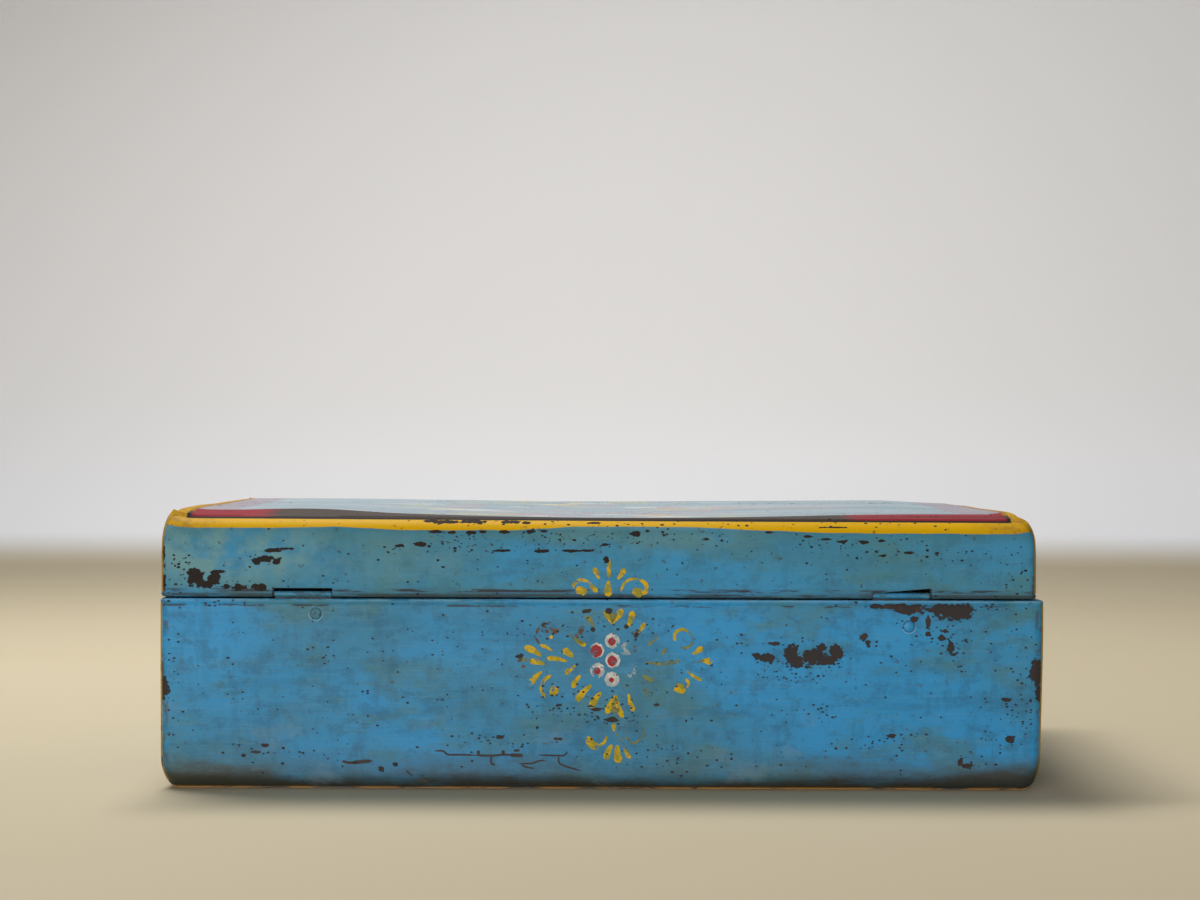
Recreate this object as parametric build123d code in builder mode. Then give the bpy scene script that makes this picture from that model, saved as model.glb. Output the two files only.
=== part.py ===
"""Small painted tin trunk: a sheet-metal body and a lid that turns on its own rear hem wire.

Millimetres. +X runs along the trunk, -Y is the front (hasp side), +Y the hinge side, +Z is up.
The origin is the middle of the base.
"""

from build123d import *
import os
from math import cos, radians, sin

# --- sheet, wire and seams ---------------------------------------------------------------------
sheet = 0.7  # tin plate of the body and the lid
wire_r = 1.0  # wire inside the rolled rims
wire_play = 0.05  # wire to the sheet or knuckle rolled round it
seat = 0.05  # a flange inside the wrap
bead_r = wire_r + wire_play + sheet
edge_r = 8.0  # rounded edge of a pressed panel
flange = 6.0  # panel flange lapped by the wrap
seam_w = 4.0  # folded edge of the wrap
seam_proud = 0.5
seam_gap = 0.5  # end of a panel's rounding to the wrap's edge
corner_play = 0.2  # between the rolled rims of neighbouring sheets

# --- body --------------------------------------------------------------------------------------
length = 508.0
depth = 330.0
body_h = 109.5
body_bend_r = 16.0  # bends between floor and ends
body_bulge = 0.5  # rolled rim beyond the front and back faces
wrap_x = length / 2 - seam_proud
body_panel_x = wrap_x - sheet - seat
body_face_y = depth / 2 - body_bulge
body_seam_y = body_face_y - edge_r - seam_gap
body_ring_x = wrap_x + seam_proud / 2 - bead_r
body_ring_y = body_face_y + body_bulge - bead_r
body_ring_z = body_h - bead_r
ring_corner_r = 6.0  # bend of both rim wires in plan
wire_butt = 0.5  # gap between the ends of a rim wire, at the front

# --- lid ---------------------------------------------------------------------------------------
lid_gap = 0.7  # lid hem above the body's rim
lid_h = 51.8
lid_bend_r = 18.0
lid_inset_x = 2.25
lid_inset_front = 2.3
lid_inset_back = 0.8
lid_bulge = 0.3  # rolled hem beyond the lid's faces
lid_shift = 1.9  # the lid sits this far towards the right end
lid_low = body_h + lid_gap
lid_high = lid_low + lid_h
lid_wrap_x = wrap_x - lid_inset_x
lid_wrap_high = lid_high - seam_proud
lid_panel_x = lid_wrap_x - sheet - seat
lid_front_y = -(body_face_y - lid_inset_front)
lid_back_y = body_face_y - lid_inset_back
lid_ring_x = lid_wrap_x + seam_proud / 2 - bead_r
lid_ring_front_y = lid_front_y - lid_bulge + bead_r
hinge_y = lid_back_y + lid_bulge - bead_r
hinge_z = lid_low + bead_r
lid_seam_front_y = lid_front_y + edge_r + seam_gap
lid_seam_back_y = lid_back_y - edge_r - seam_gap

# --- inner lip ---------------------------------------------------------------------------------
lip_t = 0.6
lip_play = 0.5  # lip to the lid's hem
lip_above = 8.0  # lip above the body's rim
lip_step_z = 5.5  # its outward step below the rim
lip_step_h = 5.0
lip_foot = 6.0
lip_short = 12.0  # each lip ends this far from the corners

# --- lid hinges --------------------------------------------------------------------------------
hinge_from_end = 82.5  # middle of a hinge to the end of the trunk
slot_w = 33.5
slot_h = 5.2
strap_play = 0.5  # knuckle to each end of its slot
strap_t = 0.7
strap_bead_gap = 0.3  # strap to the body's rolled rim
strap_step = 3.1  # height of its outward step
strap_low = 24.0  # strap below the body's rim
hinge_rivet_r = 1.5
hinge_head_r = 3.25
hinge_head_h = 1.6
right_rivet_in = 7.5  # rivet towards the trunk's middle from the middle of its hinge
right_rivet_drop = 8.6  # rivet below the body's rim
left_rivet_in = -4.5
left_rivet_drop = 15.0
hinge_x = length / 2 - hinge_from_end
right_rivet_x = hinge_x - right_rivet_in
left_rivet_x = -(hinge_x - left_rivet_in)

# --- rivets of the fittings --------------------------------------------------------------------
rivet_r = 1.3
rivet_play = 0.05
rivet_head_r = 2.4
rivet_head_h = 1.2
rivet_tail_h = 0.8  # closed end, inside
tail_share = 0.85  # closed end's radius as a share of the head's

# --- hasp and staple ---------------------------------------------------------------------------
plate_t = 1.2
staple_w = 34.0
staple_h = 22.0
staple_rivet_x = 14.0
staple_corner_r = 3.0
eye_r = 3.25
eye_wall = 2.25
eye_t = 2.5
eye_root = 0.2  # eye let into the staple's plate
eye_drop = 29.0  # hasp pin to the padlock eye
strap_face_gap = 0.3  # hasp strap to the staple's plate
shackle_gap = 0.5  # hasp strap to the eye's edge
hasp_w = 22.0
hasp_reach = 38.2
hasp_pin_r = 1.25
hasp_pin_play = 0.1
hasp_knuckle_w = 8.0
hasp_knuckle_gap = 0.3
hasp_slot_w = 4.5
hasp_slot_play = 1.0
hasp_shoulder = 0.6  # knuckle to the wide part of the strap
hasp_root_r = 2.0
hasp_plate_corner_r = 4.0
hasp_lean = 3.0  # past upright, when folded against the lid
hasp_plate_w = 28.0
hasp_plate_rise = 25.0
hasp_rivet_x = 9.5
hasp_rivet_rise = 14.0
hasp_rise = 8.8  # hasp pin above the lid's lower edge
hasp_z = lid_low + hasp_rise
hasp_knuckle_r = hasp_pin_r + hasp_pin_play + plate_t
hasp_y = -(body_face_y + plate_t + strap_face_gap + plate_t / 2)
eye_z = hasp_z - eye_drop
eye_y = hasp_y - plate_t / 2 - shackle_gap - eye_r

# --- end handles -------------------------------------------------------------------------------
bail_r = 2.2
bail_off = 0.8  # hanging bail to the end wall
bail_half = 38.0
bail_drop = 30.0
bail_bend_r = 12.0
bail_pin_bend_r = 5.0
bail_below_rim = 39.5
clip_w = 9.0
clip_gap = 1.5  # clip to the bend of the bail
clip_t = 1.0
clip_play = 0.1
clip_foot = 9.0
clip_head_gap = 0.6  # clip's loop to a rivet head
pin_past_clip = 2.0
bail_z = body_h - bail_below_rim
pivot_x = wrap_x + bail_r + bail_off
clip_y = bail_half + bail_pin_bend_r + clip_gap + clip_w / 2
pin_end_y = clip_y + clip_w / 2 + pin_past_clip
clip_loop_r = bail_r + clip_play + clip_t / 2
clip_rivet_z = clip_loop_r + clip_t / 2 + rivet_head_r + clip_head_gap

print("lid opens about its hem wire at y", round(hinge_y, 2), "z", round(hinge_z, 2))
print("hasp pin at y", round(hasp_y, 2), "z", round(hasp_z, 2), "eye at y", round(eye_y, 2), "z", eye_z)
print("handle pivots at x", round(pivot_x, 2), "z", bail_z)


def outline_at(y, half_x, low, high, bend_r, bend_at):
    """Upright rectangle at y with two rounded corners, at its foot (0) or its head (-1)."""
    with BuildSketch(Plane.XZ.offset(-y)) as outline:
        with Locations((0, (low + high) / 2)):
            Rectangle(2 * half_x, high - low)
        fillet(outline.vertices().group_by(Axis.Y)[bend_at], bend_r)
    return outline.sketch


def wrap_sheet(half_x, low, high, bend_r, bend_at, front_y, back_y):
    """Sheet bent to a U (bend_at 0) or an upturned U (-1), its two edges folded double."""
    for start, stop, proud in (
        (front_y, back_y, 0),
        (front_y, front_y + seam_w, seam_proud),
        (back_y - seam_w, back_y, seam_proud),
    ):
        top = high + (proud if bend_at == -1 else 0)
        outline = outline_at(start, half_x + proud, low, top, bend_r + proud, bend_at)
        extrude(outline, amount=start - stop)
    hollow_low = low + sheet if bend_at == 0 else low - depth
    hollow_high = high + depth if bend_at == 0 else high - sheet
    hollow = outline_at(front_y - 1, half_x - sheet, hollow_low, hollow_high, bend_r - sheet, bend_at)
    extrude(hollow, amount=front_y - back_y - 2, mode=Mode.SUBTRACT)


def pressed_block(half_x, low, high, bend_r, bend_at, face_y, inner_y, round_r, mode):
    """Solid between a rounded-edged face at face_y and a flat one at inner_y."""
    side = 1 if face_y > inner_y else -1
    with BuildPart(mode=Mode.PRIVATE) as block:
        extrude(outline_at(inner_y, half_x, low, high, bend_r, bend_at), amount=inner_y - face_y)
        rim = block.faces().sort_by(Axis.Y)[-1 if side > 0 else 0].edges()
        open_edge = rim.sort_by(Axis.Z)[-1 if bend_at == 0 else 0]
        fillet([edge for edge in rim if edge != open_edge], round_r)
    add(block.part, mode=mode)


def pressed_panel(half_x, low, high, bend_r, bend_at, face_y, inner_y):
    """Sheet panel: rounded edges on three sides, open at the rim side and towards the inside."""
    side = 1 if face_y > inner_y else -1
    past = 5.0
    closed_low = low + sheet if bend_at == 0 else low - past
    closed_high = high + past if bend_at == 0 else high - sheet
    pressed_block(half_x, low, high, bend_r, bend_at, face_y, inner_y, edge_r, Mode.ADD)
    pressed_block(
        half_x - sheet, closed_low, closed_high, bend_r - sheet, bend_at,
        face_y - side * sheet, inner_y - side * past, edge_r - sheet, Mode.SUBTRACT,
    )


def rolled_rim(path, start_plane):
    """Sheet rolled round the rim wire along a path, with the wire's channel left open."""
    with BuildSketch(start_plane) as roll:
        Circle(bead_r)
    sweep(roll.sketch, path=path)
    with BuildSketch(start_plane) as channel:
        Circle(wire_r + wire_play)
    sweep(channel.sketch, path=path, mode=Mode.SUBTRACT)


def panel_rim(ring_x, ring_y, ring_z, seam_y):
    """Rolled rim of a front or back panel, round both its corners to the seams."""
    side = 1 if ring_y > 0 else -1
    stop_y = seam_y + side * corner_play / 2
    with Locations((0, stop_y - side * depth / 4, ring_z)):  # the flanges stop short of the wrap's rims
        Box(2 * length, depth / 2, 2 * (bead_r + corner_play), mode=Mode.SUBTRACT)
    corners = [(ring_x, stop_y), (ring_x, ring_y), (-ring_x, ring_y), (-ring_x, stop_y)]
    with BuildLine(Plane.XY.offset(ring_z)) as path:
        FilletPolyline(*corners, radius=ring_corner_r)
    rolled_rim(path.wire(), Plane((ring_x, stop_y, ring_z), z_dir=(0, side, 0)))


def wrap_rims(ring_x, ring_z, front_y, back_y):
    """Straight rolled rims on both ends of a wrap, with the wire's channel left open."""
    run = back_y - front_y
    with BuildSketch(Plane.XZ.offset(-back_y + corner_play / 2)) as rolls:
        with Locations((-ring_x, ring_z), (ring_x, ring_z)):
            Circle(bead_r)
    extrude(rolls.sketch, amount=run - corner_play)
    with BuildSketch(Plane.XZ.offset(-back_y - 1)) as channels:
        with Locations((-ring_x, ring_z), (ring_x, ring_z)):
            Circle(wire_r + wire_play)
    extrude(channels.sketch, amount=run + 2, mode=Mode.SUBTRACT)


def rim_wire(ring_x, front_y, back_y, ring_z):
    """Wire through a rolled rim, its ends butted at the middle of the front."""
    butt = wire_butt / 2
    corners = [
        (butt, front_y), (ring_x, front_y), (ring_x, back_y),
        (-ring_x, back_y), (-ring_x, front_y), (-butt, front_y),
    ]
    with BuildLine(Plane.XY.offset(ring_z)) as path:
        FilletPolyline(*corners, radius=ring_corner_r)
    with BuildSketch(Plane((butt, front_y, ring_z), z_dir=(1, 0, 0))) as section:
        Circle(wire_r)
    sweep(section.sketch, path=path.wire())


def rivet(origin, outward, grip, shank_r, head_r, head_h):
    """Domed rivet: origin on the outer face, head along outward, closed end past the grip."""
    tail_r = head_r * tail_share
    dome_r = (head_r**2 + head_h**2) / (2 * head_h)
    section_plane = Plane(origin, x_dir=(0, 0, 1), z_dir=Vector(0, 0, 1).cross(Vector(*outward)))
    with BuildSketch(section_plane) as section:
        with BuildLine():
            RadiusArc((0, head_h), (head_r, 0), dome_r)
            Polyline(
                (head_r, 0), (shank_r, 0), (shank_r, -grip), (tail_r, -grip),
                (tail_r * 0.8, -grip - rivet_tail_h), (0, -grip - rivet_tail_h), (0, head_h),
            )
        make_face()
    revolve(section.sketch, axis=Axis(origin, outward))


def save(piece, name, shift=0):
    """Writes one piece, moved along the trunk by shift."""
    placed = piece.part.moved(Location((shift, 0, 0)))
    placed.label = name
    export_step(placed, f"parts/{name}.step")


os.makedirs("parts", exist_ok=True)

# --- body --------------------------------------------------------------------------------------
right_rivet = (right_rivet_x, body_face_y, body_h - right_rivet_drop)
left_rivet = (left_rivet_x, body_face_y, body_h - left_rivet_drop)
clip_rivets = [(y, bail_z + rise) for y in (-clip_y, clip_y) for rise in (-clip_rivet_z, clip_rivet_z)]
staple_rivet_points = [(x, eye_z) for x in (-staple_rivet_x, staple_rivet_x)]

with BuildPart() as body_wrap:
    wrap_sheet(wrap_x, 0, body_ring_z, body_bend_r, 0, -body_seam_y, body_seam_y)
    wrap_rims(body_ring_x, body_ring_z, -body_seam_y, body_seam_y)
    with Locations(*[Location((0, y, z), (0, 90, 0)) for y, z in clip_rivets]):
        Cylinder(rivet_r + rivet_play, 2 * length, mode=Mode.SUBTRACT)
save(body_wrap, "body_wrap")

with BuildPart() as body_back_panel:
    pressed_panel(
        body_panel_x, sheet + seat, body_ring_z, body_bend_r - sheet - seat, 0,
        body_face_y, body_seam_y - flange,
    )
    panel_rim(body_ring_x, body_ring_y, body_ring_z, body_seam_y)
    with Locations(*[Location(point, (90, 0, 0)) for point in (right_rivet, left_rivet)]):
        Cylinder(hinge_rivet_r + rivet_play, 4 * sheet, mode=Mode.SUBTRACT)
save(body_back_panel, "body_back_panel")

with BuildPart() as body_front_panel:
    pressed_panel(
        body_panel_x, sheet + seat, body_ring_z, body_bend_r - sheet - seat, 0,
        -body_face_y, -(body_seam_y - flange),
    )
    panel_rim(body_ring_x, -body_ring_y, body_ring_z, -body_seam_y)
    with Locations(*[Location((x, -body_face_y, z), (90, 0, 0)) for x, z in staple_rivet_points]):
        Cylinder(rivet_r + rivet_play, 4 * sheet, mode=Mode.SUBTRACT)
save(body_front_panel, "body_front_panel")

with BuildPart() as body_rim_wire:
    rim_wire(body_ring_x, -body_ring_y, body_ring_y, body_ring_z)
save(body_rim_wire, "body_rim_wire")

# --- inner lip ---------------------------------------------------------------------------------


def lip_strip(plane, wall, stand, run):
    """Stepped strip: its foot on the wall's inner face, its top standing clear inside the lid."""
    foot, top = wall - lip_t / 2, stand - lip_t / 2
    step_z = body_h - lip_step_z
    with BuildSketch(plane) as section:
        with BuildLine() as strip:
            Polyline(
                (foot, step_z - lip_step_h - lip_foot), (foot, step_z - lip_step_h),
                (top, step_z), (top, body_h + lip_above),
            )
        trace(strip.line, line_width=lip_t)
    extrude(section.sketch, amount=run, both=True)


lip_front_stand = -(lid_ring_front_y + bead_r + lip_play)
lip_side_stand = lid_ring_x - bead_r - lip_play

with BuildPart() as lip_front:
    lip_strip(
        Plane((0, 0, 0), x_dir=(0, -1, 0), z_dir=(-1, 0, 0)), body_face_y - sheet, lip_front_stand,
        body_panel_x - edge_r - lip_short,
    )
save(lip_front, "lip_front")

for side, name in ((-1, "lip_left"), (1, "lip_right")):
    with BuildPart() as lip_side:
        lip_strip(
            Plane((0, 0, 0), x_dir=(side, 0, 0), z_dir=(0, -side, 0)), wrap_x - sheet,
            lip_side_stand + side * lid_shift, body_seam_y - flange - lip_short,
        )
    save(lip_side, name)

# --- lid ---------------------------------------------------------------------------------------
with BuildPart() as lid_wrap:
    wrap_sheet(lid_wrap_x, hinge_z, lid_wrap_high, lid_bend_r, -1, lid_seam_front_y, lid_seam_back_y)
    wrap_rims(lid_ring_x, hinge_z, lid_seam_front_y, lid_seam_back_y)
save(lid_wrap, "lid_wrap", lid_shift)

lid_panel_high = lid_wrap_high - sheet - seat
lid_panel_bend_r = lid_bend_r - sheet - seat

with BuildPart() as lid_back_panel:
    pressed_panel(
        lid_panel_x, hinge_z, lid_panel_high, lid_panel_bend_r, -1, lid_back_y, lid_seam_back_y - flange,
    )
    panel_rim(lid_ring_x, hinge_y, hinge_z, lid_seam_back_y)
    with Locations(*[(x - lid_shift, hinge_y, lid_low) for x in (-hinge_x, hinge_x)]):
        Box(slot_w, 4 * bead_r, 2 * slot_h, mode=Mode.SUBTRACT)
save(lid_back_panel, "lid_back_panel", lid_shift)

hasp_rivet_points = [(x, hasp_z + hasp_rivet_rise) for x in (-hasp_rivet_x, hasp_rivet_x)]

with BuildPart() as lid_front_panel:
    pressed_panel(
        lid_panel_x, hinge_z, lid_panel_high, lid_panel_bend_r, -1, lid_front_y, lid_seam_front_y + flange,
    )
    panel_rim(lid_ring_x, lid_ring_front_y, hinge_z, lid_seam_front_y)
    holes = [(x - lid_shift, lid_front_y, z) for x, z in hasp_rivet_points]
    with Locations(*[Location(hole, (90, 0, 0)) for hole in holes]):
        Cylinder(rivet_r + rivet_play, 4 * sheet, mode=Mode.SUBTRACT)
save(lid_front_panel, "lid_front_panel", lid_shift)

with BuildPart() as lid_rim_wire:
    rim_wire(lid_ring_x, lid_ring_front_y, hinge_y, hinge_z)
save(lid_rim_wire, "lid_rim_wire", lid_shift)

# --- hinge straps ------------------------------------------------------------------------------
strap_y = body_ring_y - bead_r - strap_bead_gap - strap_t / 2
strap_foot_y = body_face_y - sheet - strap_t / 2
step_top = body_ring_z - bead_r / 2
knuckle_r = wire_r + wire_play + strap_t

for name, x, point in (
    ("hinge_strap_left", -hinge_x, left_rivet),
    ("hinge_strap_right", hinge_x, right_rivet),
):
    with BuildPart() as strap:
        with BuildSketch(Plane.YZ.offset(x)):
            with BuildLine() as run:
                Polyline(
                    (strap_y, hinge_z), (strap_y, step_top), (strap_foot_y, step_top - strap_step),
                    (strap_foot_y, body_h - strap_low),
                )
            trace(run.line, line_width=strap_t)
            with Locations((hinge_y, hinge_z)):
                Circle(knuckle_r)
                Circle(wire_r + wire_play, mode=Mode.SUBTRACT)
        extrude(amount=slot_w / 2 - strap_play, both=True)
        with Locations(Location(point, (90, 0, 0))):
            Cylinder(hinge_rivet_r + rivet_play, 8 * sheet, mode=Mode.SUBTRACT)
    save(strap, name)

with BuildPart() as hinge_rivets:
    for point in (right_rivet, left_rivet):
        rivet(point, (0, 1, 0), sheet + strap_t, hinge_rivet_r, hinge_head_r, hinge_head_h)
save(hinge_rivets, "hinge_rivets")

# --- staple ------------------------------------------------------------------------------------
staple_face_y = -body_face_y - plate_t

with BuildPart() as staple:
    with BuildSketch(Plane.XZ.offset(body_face_y)):
        with Locations((0, eye_z)):
            RectangleRounded(staple_w, staple_h, staple_corner_r)
        with Locations(*staple_rivet_points):
            Circle(rivet_r + rivet_play, mode=Mode.SUBTRACT)
    extrude(amount=plate_t)
    with BuildSketch(Plane.YZ):
        with Locations((eye_y, eye_z)):
            Circle(eye_r + eye_wall)
        with Locations(((eye_y + staple_face_y) / 2, eye_z)):
            Rectangle(staple_face_y - eye_y + eye_root, 2 * (eye_r + eye_wall))
        with Locations((eye_y, eye_z)):
            Circle(eye_r, mode=Mode.SUBTRACT)
    extrude(amount=eye_t / 2, both=True)
save(staple, "staple")

with BuildPart() as staple_rivets:
    for x, z in staple_rivet_points:
        rivet((x, staple_face_y, z), (0, -1, 0), plate_t + sheet, rivet_r, rivet_head_r, rivet_head_h)
save(staple_rivets, "staple_rivets")

# --- hasp --------------------------------------------------------------------------------------
plate_y = lid_front_y - plate_t / 2
knuckle_back_y = hasp_y + hasp_knuckle_r - plate_t / 2
plate_step_z = hasp_z + hasp_knuckle_r

with BuildPart() as hasp_plate:
    with BuildSketch(Plane.YZ):
        with BuildLine() as bent:
            Polyline(
                (plate_y, hasp_z + hasp_plate_rise), (plate_y, plate_step_z + 2 * plate_t),
                (knuckle_back_y, plate_step_z), (knuckle_back_y, hasp_z),
            )
        trace(bent.line, line_width=plate_t)
        with Locations((hasp_y, hasp_z)):
            Circle(hasp_knuckle_r)
            Circle(hasp_pin_r + hasp_pin_play, mode=Mode.SUBTRACT)
    extrude(amount=hasp_plate_w / 2, both=True)
    notch_w = hasp_knuckle_w + 2 * hasp_knuckle_gap
    notch_h = 2 * (hasp_knuckle_r + hasp_knuckle_gap)
    with Locations((0, hasp_y, hasp_z)):
        Box(notch_w, 4 * hasp_knuckle_r, notch_h, mode=Mode.SUBTRACT)
    fillet(hasp_plate.edges().filter_by(Axis.Y).group_by(Axis.Z)[-1], hasp_plate_corner_r)
    with Locations(*[Location((x, plate_y, z), (90, 0, 0)) for x, z in hasp_rivet_points]):
        Cylinder(rivet_r + rivet_play, 4 * plate_t, mode=Mode.SUBTRACT)
save(hasp_plate, "hasp_plate")

with BuildPart() as hasp_pin:
    with Locations(Location((0, hasp_y, hasp_z), (0, 90, 0))):
        Cylinder(hasp_pin_r, hasp_plate_w)
save(hasp_pin, "hasp_pin")

with BuildPart() as hasp_rivets:
    for x, z in hasp_rivet_points:
        head = (x, lid_front_y - plate_t, z)
        rivet(head, (0, -1, 0), plate_t + sheet, rivet_r, rivet_head_r, rivet_head_h)
save(hasp_rivets, "hasp_rivets")

slot_near = eye_drop - eye_r - eye_wall - hasp_slot_play
slot_far = eye_drop + eye_r + eye_wall + hasp_slot_play
strap_out = (0, -cos(radians(hasp_lean)), sin(radians(hasp_lean)))
strap_plane = Plane((0, hasp_y, hasp_z), x_dir=(1, 0, 0), z_dir=strap_out)
shoulder = hasp_knuckle_r + hasp_shoulder

with BuildPart() as hasp_strap:
    with BuildSketch(strap_plane) as face:
        with Locations((0, (shoulder + hasp_reach) / 2)):
            Rectangle(hasp_w, hasp_reach - shoulder)
        fillet(face.vertices().group_by(Axis.Y)[-1], hasp_w / 3)
        fillet(face.vertices().group_by(Axis.Y)[0], hasp_root_r)
        with Locations((0, shoulder / 2 + 0.5)):
            Rectangle(hasp_knuckle_w, shoulder + 1)
        with Locations((0, (slot_near + slot_far) / 2)):
            SlotOverall(slot_far - slot_near, hasp_slot_w, rotation=90, mode=Mode.SUBTRACT)
    extrude(amount=plate_t / 2, both=True)
    with BuildSketch(Plane.YZ):
        with Locations((hasp_y, hasp_z)):
            Circle(hasp_knuckle_r)
    extrude(amount=hasp_knuckle_w / 2, both=True)
    with Locations(Location((0, hasp_y, hasp_z), (0, 90, 0))):
        Cylinder(hasp_pin_r + hasp_pin_play, 2 * hasp_w, mode=Mode.SUBTRACT)
save(hasp_strap, "hasp_strap")

# --- end handles -------------------------------------------------------------------------------
for side, hand in ((-1, "left"), (1, "right")):
    x = side * pivot_x
    wall = side * wrap_x
    with BuildPart() as bail:
        with BuildLine() as path:
            FilletPolyline(
                (x, -pin_end_y, bail_z), (x, -bail_half, bail_z), (x, -bail_half, bail_z - bail_drop),
                (x, bail_half, bail_z - bail_drop), (x, bail_half, bail_z), (x, pin_end_y, bail_z),
                radius=[bail_pin_bend_r, bail_bend_r, bail_bend_r, bail_pin_bend_r],
            )
        with BuildSketch(Plane((x, -pin_end_y, bail_z), z_dir=(0, 1, 0))):
            Circle(bail_r)
        sweep(path=path.wire())
    save(bail, f"{hand}_handle")

    for y, end in ((-clip_y, "front"), (clip_y, "rear")):
        with BuildPart() as clip:
            foot_x = wall + side * clip_t / 2
            with BuildSketch(Plane((0, y, 0), x_dir=(1, 0, 0), z_dir=(0, -1, 0))):
                for up in (-1, 1):
                    with BuildLine() as foot:
                        Polyline(
                            (x, bail_z + up * clip_loop_r), (foot_x, bail_z + up * clip_loop_r),
                            (foot_x, bail_z + up * (clip_loop_r + clip_foot)),
                        )
                    trace(foot.line, line_width=clip_t)
                with BuildLine() as loop:
                    CenterArc((x, bail_z), clip_loop_r, -90 if side > 0 else 90, 180)
                trace(loop.line, line_width=clip_t)
            extrude(amount=clip_w / 2, both=True)
            holes = [(wall, y, bail_z + up * clip_rivet_z) for up in (-1, 1)]
            with Locations(*[Location(hole, (0, 90, 0)) for hole in holes]):
                Cylinder(rivet_r + rivet_play, 4 * clip_t, mode=Mode.SUBTRACT)
        save(clip, f"{hand}_clip_{end}")

    with BuildPart() as handle_rivets:
        for y, z in clip_rivets:
            head = (wall + side * clip_t, y, z)
            rivet(head, (side, 0, 0), clip_t + sheet, rivet_r, rivet_head_r, rivet_head_h)
    save(handle_rivets, f"{hand}_handle_rivets")
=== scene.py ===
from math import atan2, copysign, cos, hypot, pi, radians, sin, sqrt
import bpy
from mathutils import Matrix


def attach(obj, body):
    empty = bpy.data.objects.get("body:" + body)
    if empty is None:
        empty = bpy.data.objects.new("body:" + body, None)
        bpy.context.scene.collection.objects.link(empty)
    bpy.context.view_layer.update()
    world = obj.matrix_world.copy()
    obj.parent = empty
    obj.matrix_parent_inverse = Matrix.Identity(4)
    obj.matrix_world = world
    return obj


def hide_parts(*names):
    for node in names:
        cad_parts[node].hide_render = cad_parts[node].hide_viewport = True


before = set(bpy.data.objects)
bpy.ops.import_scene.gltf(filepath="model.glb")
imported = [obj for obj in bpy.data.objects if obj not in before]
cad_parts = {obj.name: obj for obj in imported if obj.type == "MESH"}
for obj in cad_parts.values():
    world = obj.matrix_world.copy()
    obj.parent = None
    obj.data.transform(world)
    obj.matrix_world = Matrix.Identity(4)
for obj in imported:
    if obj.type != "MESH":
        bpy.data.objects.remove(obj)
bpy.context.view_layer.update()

# Looks of the small tin trunk: pressed sheets, rolled rims, worn paint and folk ornament.
# Sizes are millimetres and are turned into metres where a mesh is made.
# +X is the trunk's right end, +Y its hinge side, which the camera faces, and +Z is up.

from types import SimpleNamespace

import bmesh
import bpy
from mathutils import Vector, noise

mm = 0.001

# --- sheet and trunk ---
sheet = 0.7
bead_r = 1.75
flange = 6.0
seam_gap = 0.15
hem_proud = 0.5
# Rows of the folded hem along a wrap's seam: distance from the seam, and how proud it stands.
hem_rows = [
    (0, -0.6), (0.9, -0.1), (1.5, hem_proud), (3.3, hem_proud), (3.9, 0.15), (4.3, 0.0), (8, 0.0),
]
hem_faces = 5
bead_turns = [-20, 0, 22, 45, 68, 90, 115, 140, 165, 190, 215]  # degrees round the rim wire
end_ring_in = 0.75  # what ring_in becomes at the ends
pitch = 7.0  # between the rows or columns of a sheet's mesh
panel_hollow = 0.75  # how deep the sheets are dented at most
wrap_hollow = 0.9

# The box is open upward (up is 1) and the lid downward (up is -1). Each has two pressed panels and
# a wrap, closed at panel_z and wrap_z, with their rims rolled round the wire at rim_z. That wire's
# middle is ring_in inward of the panels' faces, front and back, and at ring_x at the ends.
box = SimpleNamespace(
    kind="body", rides="trunk", up=1, shift=0, rim_z=107.75, closed_round=8.0, front=164.5, back=164.5,
    panel_half=252.75, panel_z=0.75, panel_bend=15.25, ring_in=1.25,
    wrap_half=253.5, wrap_z=0.0, wrap_bend=16.0, ring_x=252.0,
)
lid = SimpleNamespace(
    kind="lid", rides="lid", up=-1, shift=1.9, rim_z=111.95, closed_round=11.0, front=162.2, back=163.7,
    panel_half=250.5, panel_z=160.75, panel_bend=17.25, ring_in=1.45,
    wrap_half=251.25, wrap_z=161.5, wrap_bend=18.0, ring_x=249.75,
)
side_round = 4.0  # pressed rounding at the ends of a panel

hinge_x = 171.5
hinge_rivet_places = [(164.0, 100.9), (-176.0, 94.5)]
slot_half = 16.75
slot_top = 115.4
droop_low = 113.3  # the left slot's edge has dropped at its inner end
droop_high = 116.2
foot_corner_w = 9.0  # the foot's corners have flattened to an oval
foot_corner_h = 20.0
lid_corner_right = 8.0  # and so have the lid's
lid_corner_left = 12.5
lid_corner_h = 24.0
lean_left = 1.5  # the body's ends lean in towards the foot
lean_right = 0.4
clip_y = 49.0
clip_z = 70.0

# The lid's top has sunk between its ends. seam_z is its height at the hinge side's seam and
# ridge_z where the coloured strip ends.
seam_z = 155.5
ridge_z = 159.2
lid_tilt = 0.003
sag_half = 210.0
seam_sag = 0.2
ridge_sag = 3.6
front_sag = 1.6
corner_fall = 2.2  # at the left end
edge_fall = 2.2  # along the front
knee_x, knee_half, knee = 168.0, 52.0, 1.3  # the ridge is a little higher here
corner_x, corner_run = 185.0, 50.0
seam_y = 152.2
front_y, front_run = -120.0, 26.0
top_run = 240.0  # from the ridge to where the top is level again
top_end = 253.0
dimple_x, dimple_y, dimple_w, dimple_d, dimple = 19.0, -150.0, 18.0, 14.0, 1.5
settle_z, settle_run = 135.0, 26.0  # nothing below this has sunk
end_from, end_run = 205.0, 30.0  # where the ends' own shapes set in

# Sheets lie flat round their fittings, and their dents set in over a run from there.
fitting_r, fitting_run = 16.0, 20.0
clip_r, clip_run = 13.0, 22.0
rim_calm, rim_run = 4.0, 20.0
panel_calm, panel_run = 3.0, 24.0
wrap_run = 30.0

# --- camera ---
camera_place = (1.4, 1528.5, 195.1)
camera_lens = 71.4
camera_roll = 0.18


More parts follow.
